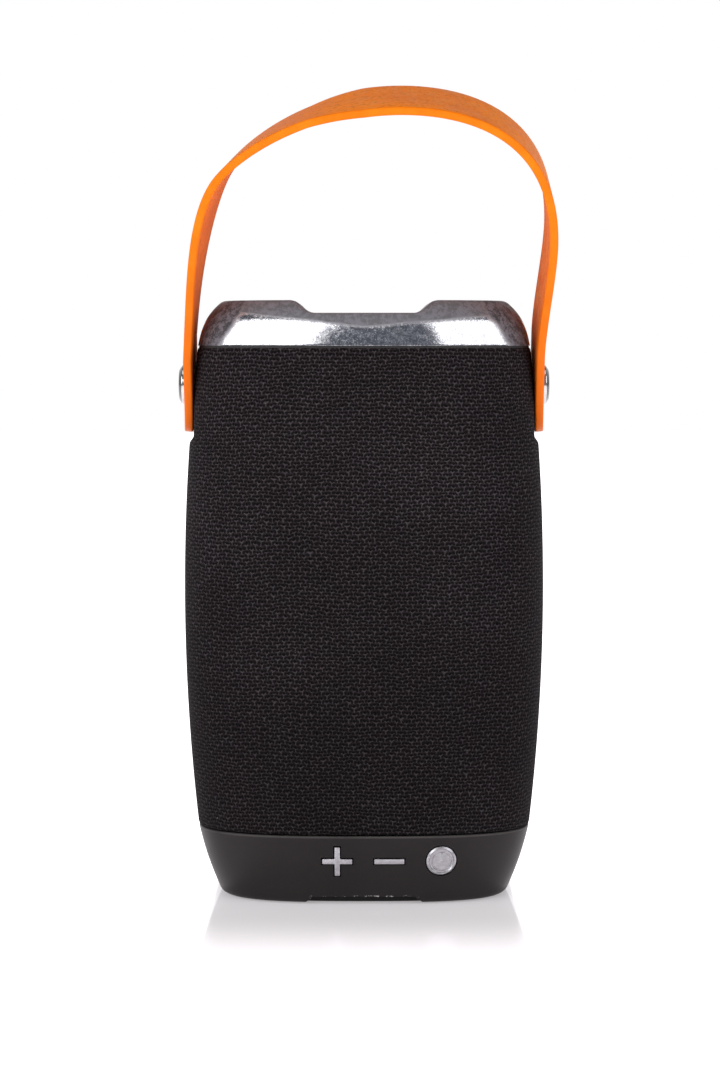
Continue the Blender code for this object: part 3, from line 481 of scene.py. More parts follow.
def half_sizes(z):
    """Half width and half depth of the body's skin at height z."""
    held = min(max(z, SEAM_Z), RIM_Z)
    radius = UPPER_RADIUS if held > WIDEST_Z else LOWER_RADIUS
    barrel = (held - WIDEST_Z) ** 2 / (2 * radius)
    over = max(z - RIM_Z, 0)
    under = max(SEAM_Z - z, 0)
    cap = CAP_LEAN * over + CAP_CURL * over**3
    base = BASE_LEAN * under + BASE_CURL * under**2
    cap_depth = CAP_DEPTH_LEAN * over + CAP_DEPTH_CURL * over**3
    width = HALF_WIDTH - barrel - cap - base
    depth = HALF_DEPTH - BARREL_DEPTH_SHARE * barrel - cap_depth - BASE_DEPTH_SHARE * base
    return width, depth


def outline(half_width, half_depth):
    """AROUND points of a superellipse, evenly spaced along it, from +X towards +Y."""
    fine = AROUND * 12
    points = []
    for k in range(fine + 1):
        c = math.cos(2 * math.pi * k / fine)
        s = math.sin(2 * math.pi * k / fine)
        x = math.copysign(abs(c) ** (2 / SECTION_POWER), c) * half_width
        y = math.copysign(abs(s) ** (2 / SECTION_POWER), s) * half_depth
        points.append(Vector((x, y)))
    lengths = [0.0]
    for a, b in zip(points, points[1:]):
        lengths.append(lengths[-1] + (b - a).length)
    even, k = [], 0
    for j in range(AROUND):
        wanted = lengths[-1] * j / AROUND
        while lengths[k + 1] < wanted:
            k += 1
        share = (wanted - lengths[k]) / (lengths[k + 1] - lengths[k])
        even.append(points[k].lerp(points[k + 1], share))
    return even, lengths[-1]


def skin_ring(z, inset=0.0):
    width, depth = half_sizes(z)
    return [Vector((p.x, p.y, z)) for p in outline(width - inset, depth - inset)[0]]


def skin_y(x, z):
    width, depth = half_sizes(z)
    return depth * (1 - abs(x / width) ** SECTION_POWER) ** (1 / SECTION_POWER)


def skin_frame(x, z, back=False):
    """A matrix on the front or back wall: +Z points into the body, +Y up the wall."""
    step = 0.1 * MM
    across = (skin_y(x + step, z) - skin_y(x - step, z)) / (2 * step)
    rise = (skin_y(x, z + step) - skin_y(x, z - step)) / (2 * step)
    side = 1 if back else -1
    inward = Vector((across, -side, rise)).normalized()
    up = Vector((0, 0, 1))
    up = (up - inward * up.dot(inward)).normalized()
    right = up.cross(inward)
    turn = Matrix((right, up, inward)).transposed().to_4x4()
    return Matrix.Translation((x, side * skin_y(x, z), z)) @ turn


def smooth_min(a, b, reach):
    """The lesser of a and b, rounded where they are nearly equal."""
    near = max(1 - abs(a - b) / reach, 0)
    return min(a, b) - reach * near * near / 4


def smooth_step(value):
    share = min(max(value, 0.0), 1.0)
    return share * share * (3 - 2 * share)


def facing(place, direction):
    """A matrix at the place, with +Z along the direction."""
    turn = Vector((0, 0, 1)).rotation_difference(Vector(direction).normalized())
    return Matrix.Translation(place) @ turn.to_matrix().to_4x4()


def circle(radius, sides):
    turns = [2 * math.pi * k / sides for k in range(sides)]
    return [(radius * math.cos(a), radius * math.sin(a)) for a in turns]


def heights(low, high, spans):
    return [low + (high - low) * k / spans for k in range(spans + 1)]


# Objects


def shade(mesh, sharp):
    """Smooth shading, except across edges sharper than the angle."""
    mesh.shade_smooth()
    mesh.set_sharp_from_angle(angle=math.radians(sharp))


def add_object(name, bm, *materials, sharp=35):
    """An object from the mesh, with its faces turned outwards. The mesh is used up."""
    bm.normal_update()
    bmesh.ops.recalc_face_normals(bm, faces=bm.faces[:])
    mesh = bpy.data.meshes.new(name)
    bm.to_mesh(mesh)
    bm.free()
    for one in materials:
        mesh.materials.append(one)
    shade(mesh, sharp)
    made = bpy.data.objects.new(name, mesh)
    bpy.context.scene.collection.objects.link(made)
    return made


def skin(bm, rings, looped=False, uv=None, uv_name=None, slots=None):
    """Quads between neighbouring rings. Unless looped, the first and last rings are filled.

    uv(ring, k) gives a corner's coordinates, and slots(k) the material slot of the strip
    after point k.
    """
    verts = [[bm.verts.new(p) for p in ring] for ring in rings]
    layer = bm.loops.layers.uv.new(uv_name) if uv else None
    count = len(verts)
    for i in range(count if looped else count - 1):
        low, high = verts[i], verts[(i + 1) % count]
        for k in range(len(low)):
            n = (k + 1) % len(low)
            face = bm.faces.new((low[k], low[n], high[n], high[k]))
            if slots:
                face.material_index = slots(k)
            if layer:
                corners = ((i, k), (i, k + 1), (i + 1, k + 1), (i + 1, k))
                for loop, (row, column) in zip(face.loops, corners):
                    loop[layer].uv = uv(row, column)
    if not looped:
        for ring in (verts[0], verts[-1]):
            bm.faces.new(ring)
    return bm


def turned(name, profile, matrix, sides, *materials, sharp=30):
    """A profile of (radius, height), turned about the matrix's +Z. Its ends are on the axis."""
    bm = bmesh.new()
    rings = [[bm.verts.new((x, y, h)) for x, y in circle(r, sides)] for r, h in profile[1:-1]]
    for low, high in zip(rings, rings[1:]):
        for i in range(sides):
            j = (i + 1) % sides
            bm.faces.new((low[i], low[j], high[j], high[i]))
    for ring, height in ((rings[0], profile[0][1]), (rings[-1], profile[-1][1])):
        centre = bm.verts.new((0, 0, height))
        for i in range(sides):
            bm.faces.new((centre, ring[i], ring[(i + 1) % sides]))
    bm.transform(matrix)
    return add_object(name, bm, *materials, sharp=sharp)


def prism(points, low, high, matrix):
    bm = skin(bmesh.new(), [[Vector((x, y, z)) for x, y in points] for z in (low, high)])
    bm.transform(matrix)
    return bm


def box_mesh(low, high, matrix):
    bm = bmesh.new()
    bmesh.ops.create_cube(bm, size=1)
    low, high = Vector(low), Vector(high)
    middle = Matrix.Translation((high + low) / 2)
    bm.transform(matrix @ middle @ Matrix.Diagonal((*(high - low), 1)))
    return bm


def settle(obj):
    """Applies the object's modifiers to its mesh."""
    bpy.context.view_layer.update()
    graph = bpy.context.evaluated_depsgraph_get()
    mesh = bpy.data.meshes.new_from_object(obj.evaluated_get(graph), depsgraph=graph)
    obj.modifiers.clear()
    obj.data = mesh


def cut(obj, cutters):
    """Cuts the cutters out of the object, and removes them."""
    for cutter in cutters:
        step = obj.modifiers.new("cut", "BOOLEAN")
        step.operation = "DIFFERENCE"
        step.object = cutter
    settle(obj)
    for cutter in cutters:
        bpy.data.objects.remove(cutter)


def soften(obj, width, segments, angle):
    """Rounds the edges sharper than the angle."""
    step = obj.modifiers.new("soften", "BEVEL")
    step.width = width
    step.segments = segments
    step.limit_method = "ANGLE"
    step.angle_limit = math.radians(angle)
    settle(obj)
    shade(obj.data, 50)


def finished(obj, body, slot, *nodes):
    """The piece rides on a body and stands for CAD nodes, which it hides; its slot is not used."""
    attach(obj, body)
    if nodes:
        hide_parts(*nodes)


# Knit sleeve


def sleeve_profile():
    """(height, inset) from the inner lower hem, up the outside, to the inner upper hem."""
    roll, wall = 0.5 * MM, 1.9 * MM
    arc = [math.radians(a) for a in (0, 30, 60, 90)]
    hem = [(roll * (1 - math.sin(a)), roll * (1 - math.cos(a))) for a in arc]
    lower = [(SLEEVE_LOW + rise, inset) for rise, inset in reversed(hem)]
    upper = [(SLEEVE_HIGH - drop, inset) for drop, inset in hem]
    crease = PIVOT_Z - SEAT_HALF_HEIGHT - SEAT_FADE
    levels = heights(SLEEVE_LOW + roll, crease, 64)[1:] + heights(crease, crease + SEAT_FADE, 8)[1:]
    levels += heights(crease + SEAT_FADE, SLEEVE_HIGH - roll, 16)[1:-1]
    middle = [(z, 0.0) for z in levels]
    return [(SLEEVE_LOW, wall)] + lower + middle + upper + [(SLEEVE_HIGH, wall)]


def flatten_seat(point, limit=SEAT_X):
    """Flattens the sides where the strap's ends turn."""
    off = abs(point.z - PIVOT_Z) - SEAT_HALF_HEIGHT
    share = 1 - smooth_step(off / SEAT_FADE)
    over = max(abs(point.x) - limit, 0)
    point.x -= math.copysign(over * share, point.x)
    return point


def make_sleeve(knit):
    profile = sleeve_profile()
    rings = [[flatten_seat(p) for p in skin_ring(z, inset)] for z, inset in profile]
    columns = round(outline(HALF_WIDTH, HALF_DEPTH)[1] / KNIT_COLUMN)
    rows = [z / KNIT_COURSE for z, _ in profile]

    def uv(row, k):
        return columns * k / AROUND, rows[row % len(rows)]

    bm = skin(bmesh.new(), rings, looped=True, uv=uv, uv_name="knit")
    sleeve = add_object("sleeve_knit", bm, knit, sharp=80)
    finished(sleeve, "speaker", "dark_fabric", "fabric_sleeve")


# Polished cap


def saddle_z(x):
    """Height of the saddle across the cap at x. Beyond its mouth it climbs steeply."""
    low, high = SADDLE_FLOOR / 2, SADDLE_MOUTH / 2
    if abs(x) >= high:
        return CAP_TOP_Z + 10 * (abs(x) - high)
    rise = smooth_step((abs(x) - low) / (high - low))
    return CAP_TOP_Z - SADDLE_DEPTH * (1 - rise)


def cap_point(point):
    """Presses a point of the dome down to the flat top and the saddle."""
    top = smooth_min(point.z, CAP_TOP_Z, 0.8 * MM)
    if abs(point.x) < SADDLE_MOUTH / 2 + 3 * MM:
        top = smooth_min(top, saddle_z(point.x), 0.6 * MM)
    return Vector((point.x, point.y, top))


def make_cap(chrome):
    """Rings up the side and past the top, then inwards, all pressed down to the cap's shape."""
    rise = heights(0, 8.4 * MM, 16) + heights(8.6 * MM, 13.0 * MM, 26)
    rings = [skin_ring(RIM_Z + h) for h in rise]
    last, inwards = rings[-1], 17
    for k in range(1, inwards):
        share = 1 - k / inwards
        rings.append([Vector((p.x * share, p.y * share, p.z + 2 * MM)) for p in last])
    rings = [[cap_point(p) for p in ring] for ring in rings]
    bm = bmesh.new()
    verts = [[bm.verts.new(p) for p in ring] for ring in rings]
    for low, high in zip(verts, verts[1:]):
        for k in range(AROUND):
            n = (k + 1) % AROUND
            bm.faces.new((low[k], low[n], high[n], high[k]))
    bm.faces.new(verts[-1])
    cap = add_object("cap_polished", bm, chrome, sharp=60)
    wall = cap.modifiers.new("wall", "SOLIDIFY")
    wall.thickness = CAP_WALL
    wall.offset = -1
    settle(cap)
    soften(cap, 0.18 * MM, 2, 50)
    finished(cap, "speaker", "cap_chrome", "top_cap")


def make_gasket(rubber):
    """A dark ring that fills the joint between the sleeve and the cap."""
    low, high, wall, sunk = SLEEVE_HIGH - 1.5 * MM, RIM_Z + 0.4 * MM, 1.6 * MM, 0.3 * MM
    rings = []
    for z, inset in ((low, wall), (low, 0.0), (high, 0.0), (high, wall)):
        rings.append([flatten_seat(p, SEAT_X - sunk) for p in skin_ring(z, sunk + inset)])
    gasket = add_object("cap_gasket", skin(bmesh.new(), rings, looped=True), rubber)
    finished(gasket, "speaker", "rubber")


# Moulded base


def base_profile():
    """(height, inset) from the upper edge, down the outside, to the underside."""
    lip, edge = 0.45 * MM, 1.3 * MM
    arc = [math.radians(a) for a in (0, 22, 45, 68, 90)]
    curve = [(1 - math.cos(a), 1 - math.sin(a)) for a in arc]
    upper = [(BASE_TOP_Z - lip * drop, lip * inset) for drop, inset in curve]
    side = [(z, 0.0) for z in heights(BASE_TOP_Z - lip, BASE_BOTTOM_Z + edge, 26)[1:-1]]
    lower = [(BASE_BOTTOM_Z + edge * rise, edge * inset) for rise, inset in reversed(curve)]
    return upper + side + lower


def plus_outline(grow=0.0):
    a, b = KEY_ARM / 2 + grow, KEY_SPAN / 2 + grow
    quarter = ((b, -a), (b, a), (a, a))
    turns = ((1, 0), (0, 1), (-1, 0), (0, -1))
    return [(x * c - y * s, x * s + y * c) for c, s in turns for x, y in quarter]


def minus_outline(grow=0.0):
    a, b = KEY_ARM / 2 + grow, KEY_SPAN / 2 + grow
    return [(b, -a), (b, a), (-b, a), (-b, -a)]


def disc_outline(grow=0.0):
    return circle(KEY_SPAN / 2 + grow, 48)


KEY_SHAPES = (("plus", plus_outline), ("minus", minus_outline), ("power", disc_outline))


def key_frame(number):
    return skin_frame(KEY_FIRST_X + number * KEY_PITCH, KEY_Z)


def make_base(plastic):
    rings = [skin_ring(z, inset) for z, inset in base_profile()]
    base = add_object("base_moulding", skin(bmesh.new(), rings), plastic)
    cut(base, list(base_cutters()))
    shade(base.data, 30)
    finished(base, "speaker", "base_plastic", "base_shell")


def base_cutters():
    """The inside, the pad's recess, the front notch, the keys' wells and the sockets' opening."""
    hollow = [skin_ring(z, BASE_WALL) for z in (BASE_FLOOR, 8 * MM, 12 * MM, 16 * MM, BASE_TOP_Z)]
    hollow[-1] = [p + Vector((0, 0, 5 * MM)) for p in hollow[-1]]
    yield add_object("hollow", skin(bmesh.new(), hollow))

    pad = outline(PAD_HALF_WIDTH + CLEARANCE, PAD_HALF_DEPTH + CLEARANCE)[0]
    yield add_object("pad_recess", prism(pad, -MM, PAD_HEIGHT + CLEARANCE, Matrix()))

    mouth, floor, top = NOTCH_MOUTH / 2 + MM, NOTCH_FLOOR / 2, BASE_BOTTOM_Z + NOTCH_DEPTH
    under = BASE_BOTTOM_Z - MM
    notch = [(-mouth, under), (mouth, under), (floor, top), (-floor, top)]
    forward = Matrix.Rotation(math.radians(90), 4, "X")
    yield add_object("notch", prism(notch, PAD_HALF_DEPTH - MM, FAR, forward))

    for number, (name, shape) in enumerate(KEY_SHAPES):
        well = prism(shape(KEY_GAP), -2 * MM, 5 * MM, key_frame(number))
        yield add_object(name + "_well", well)

    back, deep = skin_frame(0, PORT_Z, back=True), 6 * MM
    w, h = COVER_HALF_WIDTH + CLEARANCE, COVER_HALF_HEIGHT + CLEARANCE
    recess = box_mesh((-w, -h, -5 * MM), (w, h, COVER_DEPTH + CLEARANCE), back)
    yield add_object("cover_recess", recess)
    w, h = SOCKET_HALF_WIDTH, SOCKET_HALF_HEIGHT
    window = box_mesh((SOCKET_X - w, -h, -MM), (SOCKET_X + w, h, deep), back)
    yield add_object("socket_window", window)
    jack = [(0, -MM), (JACK_RADIUS, -MM), (JACK_RADIUS, deep), (0, deep)]
    yield turned("jack_window", jack, back @ Matrix.Translation((JACK_X, 0, 0)), 32)


def make_key_bezels(plastic):
    """A low lip moulded round each key's well. Its profile is (growth, depth) in millimetres."""
    profile = ((0.0, 0.5), (0.0, -0.04), (0.08, -0.12), (0.34, -0.12), (0.52, 0.0), (0.52, 0.5))
    for number, (name, shape) in enumerate(KEY_SHAPES):
        matrix = key_frame(number)
        rings = []
        for grow, depth in profile:
            points = shape(KEY_GAP + grow * MM)
            rings.append([Vector((x, y, depth * MM)) for x, y in points])
        bm = skin(bmesh.new(), rings, looped=True)
        for vert in bm.verts:
            vert.co.z += sag(matrix, vert.co.x, vert.co.y)
        bm.transform(matrix)
        bezel = add_object(name + "_bezel", bm, plastic, sharp=50)
        finished(bezel, "speaker", "base_plastic")


def sag(matrix, x, y):
    """How far the skin lies behind a wall's tangent plane, at x, y in that plane."""
    point = matrix @ Vector((x, y, 0))
    return abs(point.y) - skin_y(point.x, point.z)


def make_keys(metal):
    depth = BASE_WALL + 0.9 * MM
    for number, (name, shape) in enumerate(KEY_SHAPES[:2]):
        bm = prism(shape(), -KEY_PROUD, depth, key_frame(number))
        key = add_object(name + "_cap", bm, metal)
        soften(key, 0.22 * MM, 3, 40)
        finished(key, name, "satin_metal", name + "_key")
    make_power_key(metal, depth)


def make_power_key(metal, depth):
    """A chamfered disc. A ring and a stroke are engraved in its face, round a raised pip."""
    radius = KEY_SPAN / 2
    front = -KEY_PROUD
    face = front + 0.3 * MM
    pip, groove = face - 0.12 * MM, face + 0.16 * MM
    profile = [
        (0, pip), (0.22 * MM, pip), (0.42 * MM, face), (2.45 * MM, face),
        (2.55 * MM, groove), (2.8 * MM, groove), (2.9 * MM, face),
        (radius - 0.85 * MM, face), (radius - 0.6 * MM, front), (radius - 0.42 * MM, front),
        (radius, front + 0.36 * MM), (radius, depth), (0, depth),
    ]
    matrix = key_frame(2)
    key = turned("power_cap", profile, matrix, 64, metal, sharp=20)
    low, high = (-0.11 * MM, 0.9 * MM, -MM), (0.11 * MM, 2.2 * MM, face + 0.12 * MM)
    cut(key, [add_object("stroke", box_mesh(low, high, matrix))])
    finished(key, "power", "satin_metal", "power_key")


def make_foot(rubber):
    """The pad. It stands on a rim round a shallow hollow."""
    edge = 0.35 * MM
    profile = (
        (0.06, edge), (0.055, 0.0), (edge / PAD_HALF_DEPTH, 0.0), (0.0, edge), (0.0, PAD_HEIGHT),
    )
    rings = []
    for shrink, z in profile:
        points = outline(PAD_HALF_WIDTH * (1 - shrink), PAD_HALF_DEPTH * (1 - shrink))[0]
        rings.append([Vector((p.x, p.y, z)) for p in points])
    pad = add_object("foot_rubber", skin(bmesh.new(), rings), rubber)
    finished(pad, "speaker", "rubber", "foot_pad")


def rounded_rectangle(half_width, half_height, radius):
    w, h = half_width - radius, half_height - radius
    points = []
    for x, y, start in ((w, h, 0), (-w, h, 90), (-w, -h, 180), (w, -h, 270)):
        for turn in range(0, 91, 15):
            a = math.radians(start + turn)
            points.append((x + radius * math.cos(a), y + radius * math.sin(a)))
    return points


def make_cover(rubber):
    """The rubber flap over the sockets. It follows the skin, with a nail notch at its free end."""
    matrix = skin_frame(0, PORT_Z, back=True)
    rim = rounded_rectangle(COVER_HALF_WIDTH, COVER_HALF_HEIGHT, COVER_CORNER)
    face = 0.02 * MM
    profile = [(1.0, COVER_DEPTH), (1.0, 0.25 * MM), (0.99, face)]
    profile += [(share, face) for share in (0.9, 0.75, 0.6, 0.45, 0.3, 0.15)]
    rings = [[Vector((x * share, y * share, z)) for x, y in rim] for share, z in profile]
    bm = skin(bmesh.new(), rings)
    for vert in bm.verts:
        if vert.co.z < COVER_DEPTH / 2:
            vert.co.z += max(sag(matrix, vert.co.x, vert.co.y), 0)
    bm.transform(matrix)
    cover = add_object("cover_rubber", bm, rubber, sharp=40)
    notch_x, notch_radius, notch_out, notch_half = 13.6 * MM, 3.0 * MM, 2.1 * MM, 3.0 * MM
    upright = Matrix.Rotation(math.radians(90), 4, "X")
    where = matrix @ Matrix.Translation((notch_x, 0, -notch_out)) @ upright
    notch = prism(circle(notch_radius, 36), -notch_half, notch_half, where)
    cut(cover, [add_object("nail_notch", notch)])
    shade(cover.data, 30)
    finished(cover, "port_flap", "rubber", "port_cover")


# Leather strap


def bezier(start, out, back, end, spans):
    """Points along a cubic curve, with its two handles between its ends."""
    points = []
    for k in range(spans + 1):
        t = k / spans
        u = 1 - t
        points.append(u**3 * start + 3 * u * u * t * out + 3 * u * t * t * back + t**3 * end)
    return points


def strap_line():
    """The outer face's middle line, in the leaning plane: x across, v up from the pivots."""
    left = Vector((-STRAP_OUT, 11 * MM))
    bend = Vector((-39.75 * MM, 60.9 * MM))
    slope = Vector((math.cos(math.radians(56)), math.sin(math.radians(56))))
    apex = Vector((STRAP_APEX_X, STRAP_APEX))
    bulge = Vector((52.7 * MM, 44.3 * MM))
    right = Vector((STRAP_OUT, 11.5 * MM))
    up, across = Vector((0, MM)), Vector((MM, 0))
    line = bezier(left, left + 14 * up + 1.1 * across, bend - 12.8 * MM * slope, bend, 40)
    line += bezier(bend, bend + 8.3 * MM * slope, apex - 26.5 * across, apex, 44)[1:]
    line += bezier(apex, apex + 21.9 * across, bulge + 28.8 * up, bulge, 52)[1:]
    line += bezier(bulge, bulge - 9.2 * up, right + 9.1 * up, right, 24)[1:]
    return line


def tail_stations(x):
    """A round end about the pivot: (point, half width), from the tip up."""
    radius = STRAP_WIDTH / 2
    stations = []
    for k in range(25):
        a = math.radians(86) * (1 - (k / 24) ** 1.15)
        flare = STRAP_FLARE * math.sin(a) ** 2
        point = Vector((x + math.copysign(flare, x), -radius * math.sin(a)))
        stations.append((point, radius * math.cos(a)))
    return stations


def strap_section(point, tangent, half_width, twist):
    """Points round the strap, with the cut edges rounded. The outer face is first."""
    corner = min(0.55 * MM, half_width / 3)
    depth = STRAP_THICKNESS
    flat = half_width - corner
    spots = [(-flat + 2 * flat * k / 8, 0.0) for k in range(9)]
    for a in (22.5, 45, 67.5, 90):
        r = math.radians(a)
        spots.append((half_width - corner * (1 - math.sin(r)), corner * (1 - math.cos(r))))
    for a in (0, 22.5, 45, 67.5):
        r = math.radians(a)
        across = half_width - corner * (1 - math.cos(r))
        spots.append((across, depth - corner * (1 - math.sin(r))))
    spots += [(flat - 2 * flat * k / 8, depth) for k in range(9)]
    spots += [(-x, depth - y) for x, y in spots[9:17]]
    inward = Vector((tangent.y, -tangent.x))
    ring = []
    for across, inwards in spots:
        spot = point + inward * (inwards - across * math.sin(twist))
        ring.append(Vector((spot.x, -across * math.cos(twist), spot.y)))
    return ring


# The strips between a section's points
OUTER_STRIPS = range(0, 8)
EDGE_STRIPS = (*range(8, 17), *range(25, 34))


def strap_slot(k):
    """The strip after point k takes slot 0 on the outer face, 1 on the inner, 2 on an edge."""
    if k in OUTER_STRIPS:
        return 0
    return 2 if k in EDGE_STRIPS else 1


def make_strap(outer, inner, edge):
    half = STRAP_WIDTH / 2
    stations = tail_stations(-STRAP_OUT) + [(p, half) for p in strap_line()]
    stations += list(reversed(tail_stations(STRAP_OUT)))
    points = [point for point, _ in stations]
    rings, run, runs = [], 0.0, []
    for k, (point, half_width) in enumerate(stations):
        before, after = points[max(k - 1, 0)], points[min(k + 1, len(points) - 1)]
        off = (point.y - TWIST_V) / TWIST_SPREAD
        shoulder = math.exp(-off * off / 2) if point.x < 0 else 0
        twist = SHOULDER_TWIST * shoulder * min(max(-point.x / (15 * MM), 0), 1)
        rings.append(strap_section(point, (after - before).normalized(), half_width, twist))
        run += (point - before).length
        runs.append(run)
    count = len(rings[0])

    def uv(row, k):
        return runs[row], STRAP_WIDTH * k / count

    bm = skin(bmesh.new(), rings, uv=uv, uv_name="strap", slots=strap_slot)
    bm.transform(Matrix.Translation((0, 0, PIVOT_Z)) @ Matrix.Rotation(LEAN, 4, "X"))
    strap = add_object("strap_leather", bm, outer, inner, edge, sharp=60)
    hole = SHOULDER_RADIUS + CLEARANCE
    bore = [(0, -FAR), (hole, -FAR), (hole, FAR), (0, FAR)]
    cut(strap, [turned("hole", bore, facing((0, 0, PIVOT_Z), (1, 0, 0)), 40, edge)])
    finished(strap, "handle", "strap_material", "strap")


def make_screws(metal):
    """Shoulder screws, with a chamfered head and a hexagonal socket."""
    low = STRAP_OUT + 0.2 * MM
    high = low + SCREW_HEAD_HEIGHT
    radius, face = SCREW_HEAD_RADIUS, SCREW_FACE_RADIUS
    profile = [
        (0, SHANK_START), (SHANK_RADIUS, SHANK_START), (SHANK_RADIUS, SHOULDER_START),
        (SHOULDER_RADIUS, SHOULDER_START), (SHOULDER_RADIUS, low), (radius - 0.2 * MM, low),
        (radius, low + 0.2 * MM), (radius, high - 1.05 * MM),
        (radius - 0.12 * MM, high - 0.85 * MM), (face + 0.25 * MM, high - 0.1 * MM),
        (face, high - 0.03 * MM), (face - 0.4 * MM, high), (0, high),
    ]
    for name, side in (("left", -1), ("right", 1)):
        matrix = facing((0, 0, PIVOT_Z), (side, 0, 0))
        screw = turned("screw_" + name, profile, matrix, 56, metal, sharp=25)
        hexagon = circle(SCREW_SOCKET_RADIUS, 6)
        socket = prism(hexagon, high - SCREW_SOCKET_DEPTH, high + MM, matrix)
        cut(screw, [add_object("socket", socket)])
        shade(screw.data, 25)
        finished(screw, "speaker", "satin_metal", "strap_screw_" + name)


# Inner pieces keep their solids and take a finish each


def inner_finishes(metal):
    """One material for each slot that an inner piece can take."""
    upright, level, wound = (1, 1, 0.15), (1, 0.15, 1), (0.1, 3, 0.1)
    return {
        "inner_plastic": grained_material(
            "inner_plastic", (0.03, 0.03, 0.033), (0.045, 0.045, 0.05), 0.55
        ),
        "rubber": grained_material(
            "inner_rubber", (0.012, 0.012, 0.012), (0.02, 0.02, 0.02), 0.8, scale=900
        ),
        "steel": grained_material(
            "plated_steel", (0.42, 0.42, 0.43), (0.55, 0.55, 0.56), 0.34, 1.0, 700, 0.02, upright
        ),
        "brass": grained_material(
            "turned_brass", (0.60, 0.42, 0.16), (0.74, 0.56, 0.25), 0.3, 1.0, 900, 0.02, level
        ),
        "ferrite": grained_material(
            "sintered_ferrite", (0.04, 0.04, 0.043), (0.07, 0.07, 0.075), 0.7, 0.0, 1200, 0.06
        ),
        "paper_cone": grained_material(
            "pulp_cone", (0.035, 0.033, 0.032), (0.06, 0.057, 0.055), 0.88, 0.0, 1400, 0.08
        ),
        "dark_fabric": grained_material(
            "treated_cloth", (0.30, 0.20, 0.09), (0.42, 0.30, 0.15), 0.85, 0.0, 2200, 0.1
        ),
        "coil_winding": grained_material(
            "lacquered_winding", (0.45, 0.16, 0.06), (0.62, 0.27, 0.12), 0.3, 0.9, 3000, 0.05, wound
        ),
        "circuit_board": grained_material(
            "solder_mask", (0.008, 0.07, 0.03), (0.014, 0.11, 0.05), 0.35, scale=500
        ),
        "cell_wrap": grained_material(
            "shrink_film", (0.02, 0.07, 0.24), (0.03, 0.10, 0.32), 0.28, scale=300
        ),
        "satin_metal": metal,
    }


def dress_inner_pieces(metal):
    finishes = inner_finishes(metal)
    slots = {part["node"]: part["material_slot"] for part in frame["record"]["subparts"]}
    for name, node in frame["nodes"].items():
        finish = finishes.get(slots[name])
        if finish:
            node.data.materials.clear()
            node.data.materials.append(finish)


# Stage, light and camera


def make_floor():
    """A wide sheet of glossy white acrylic, lit from below. Its glow is dimmed under the speaker and in front of
    it, a painted shadow where the speaker's reflection lies.
    """
    white, glow = (0.8, 0.8, 0.8, 1.0), (1.0, 0.955, 0.985, 1.0)
    g = Graph("white_acrylic", Base_Color=white, Emission_Color=glow)
    x, y, _ = g.split(g.place())
    g.plug("Roughness", g.between(y, -75 * MM, -35 * MM, 0.22, 0.05))
    # Painted shadow: the glow is dimmer under the speaker and in front of it.
    ahead = g.between(y, -132 * MM, -38 * MM, 1.0, 0.0)
    beside = g.between(g.magnitude(x), 41.2 * MM, 43.2 * MM)
    behind = g.between(y, 10 * MM, 35 * MM)
    outside_painted_shadow = g.math("MAXIMUM", g.math("MAXIMUM", ahead, beside), behind)
    g.plug("Emission Strength", g.add(0.32, g.times(outside_painted_shadow, 0.75)))
    bm = bmesh.new()
    bmesh.ops.create_grid(bm, x_segments=8, y_segments=8, size=4.0)
    floor = add_object("floor", bm, g.material)


def softbox(name, azimuth, elevation, distance, width, height, power):
    """A rectangular light that faces the speaker. Azimuth 0 is in front of it, 90 to its right."""
    target = Vector((0, 0, 110 * MM))
    a, e = math.radians(azimuth), math.radians(elevation)
    back = Vector((math.sin(a) * math.cos(e), -math.cos(a) * math.cos(e), math.sin(e)))
    light = bpy.data.lights.new(name, "AREA")
    light.shape = "RECTANGLE"
    light.size, light.size_y = width, height
    light.energy = power
    made = bpy.data.objects.new(name, light)
    made.location = target + back * distance
    made.rotation_mode = "QUATERNION"
    made.rotation_quaternion = back.to_track_quat("Z", "Y")
    made.visible_camera = False
    bpy.context.scene.collection.objects.link(made)


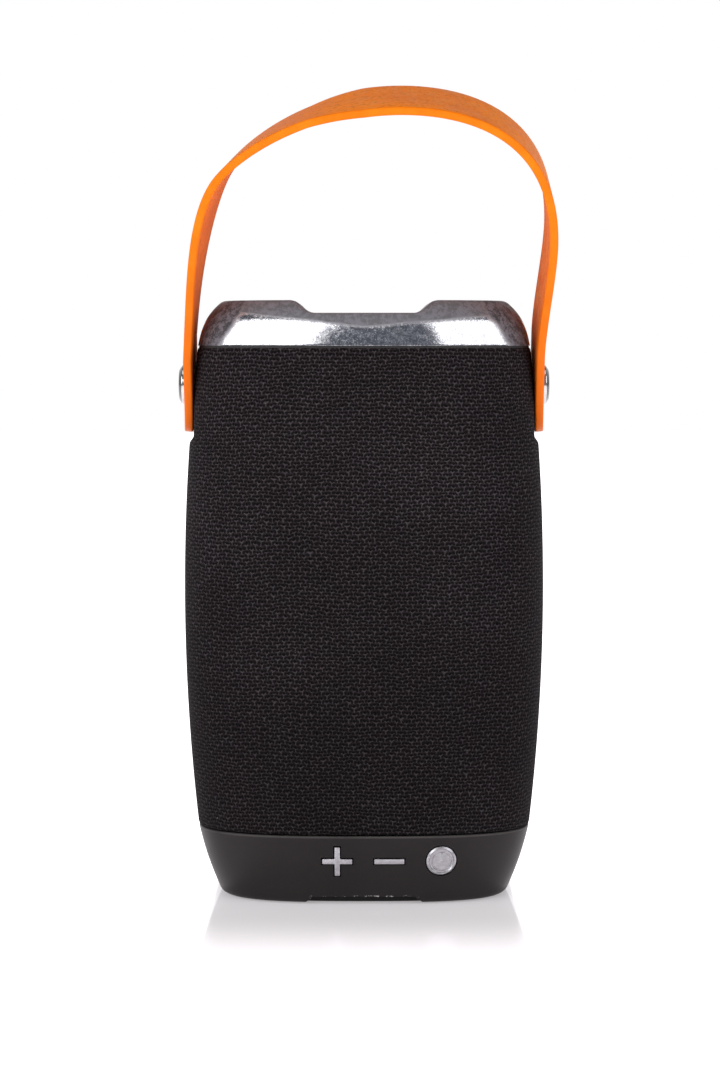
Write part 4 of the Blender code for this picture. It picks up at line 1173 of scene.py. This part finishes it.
def make_world():
    """White to the eye; as light, a pale wall behind the speaker and a dim room in front."""
    world = bpy.data.worlds.new("studio")
    bpy.context.scene.world = world
    world.use_nodes = True
    world.node_tree.nodes.clear()
    g = Nodes(world.node_tree)
    _, y, z = g.split(g.node("TexCoord").outputs["Generated"])
    wall = g.times(g.between(y, 0.25, 0.75), g.between(z, 0.35, 0.8, 1.0, 0.0))
    room = g.mix(g.between(z, 0.55, 0.95), (0.17, 0.18, 0.21), (0.10, 0.085, 0.075))
    light = g.mix(wall, room, (0.9, 0.9, 0.92))
    seen = g.mix(g.node("LightPath").outputs["Is Camera Ray"], light, (1.0, 1.0, 1.0))
    background = g.node("Background", {"Color": seen})
    g.node("OutputWorld", {"Surface": background.outputs[0]})


def make_camera():
    """Level with the cap, a little left of centre, tipped down towards the keys."""
    data = bpy.data.cameras.new("camera")
    data.lens = 89.5
    data.sensor_width = 36
    data.clip_start = 0.02
    data.clip_end = 50
    camera = bpy.data.objects.new("camera", data)
    camera.location = (-1.13 * MM, -758 * MM, 154.3 * MM)
    camera.rotation_euler = (math.radians(90 - 4.15), 0, 0)
    bpy.context.scene.collection.objects.link(camera)
    bpy.context.scene.camera = camera


def make_studio():
    make_floor()
    make_world()
    softbox("key_light", -43, 25, 1.5, 1.95, 0.78, 14)
    softbox("fill_light", 49, 25, 1.5, 1.7, 0.78, 8.4)
    softbox("top_light", 0, 80, 1.4, 1.0, 0.7, 2.6)
    make_camera()
    bpy.context.scene.view_settings.view_transform = "Standard"


def main():
    metal = satin_material()
    plastic = base_material()
    rubber = grained_material(
        "matte_rubber", (0.014, 0.013, 0.013), (0.022, 0.021, 0.021), 0.78, 0.0, 1500, 0.05
    )
    make_sleeve(knit_material())
    make_cap(chrome_material())
    make_gasket(rubber)
    make_base(plastic)
    make_key_bezels(plastic)
    make_keys(metal)
    make_foot(rubber)
    make_cover(rubber)
    outer = leather_material("strap_grain", (0.97, 0.245, 0.014), (0.84, 0.185, 0.009), 0.5)
    inner = leather_material(
        "strap_lining", (0.93, 0.190, 0.022), (0.78, 0.135, 0.013), 0.7, grain=1.6
    )
    make_strap(outer, inner, edge_material())
    make_screws(screw_material())
    dress_inner_pieces(metal)
    make_studio()


main()
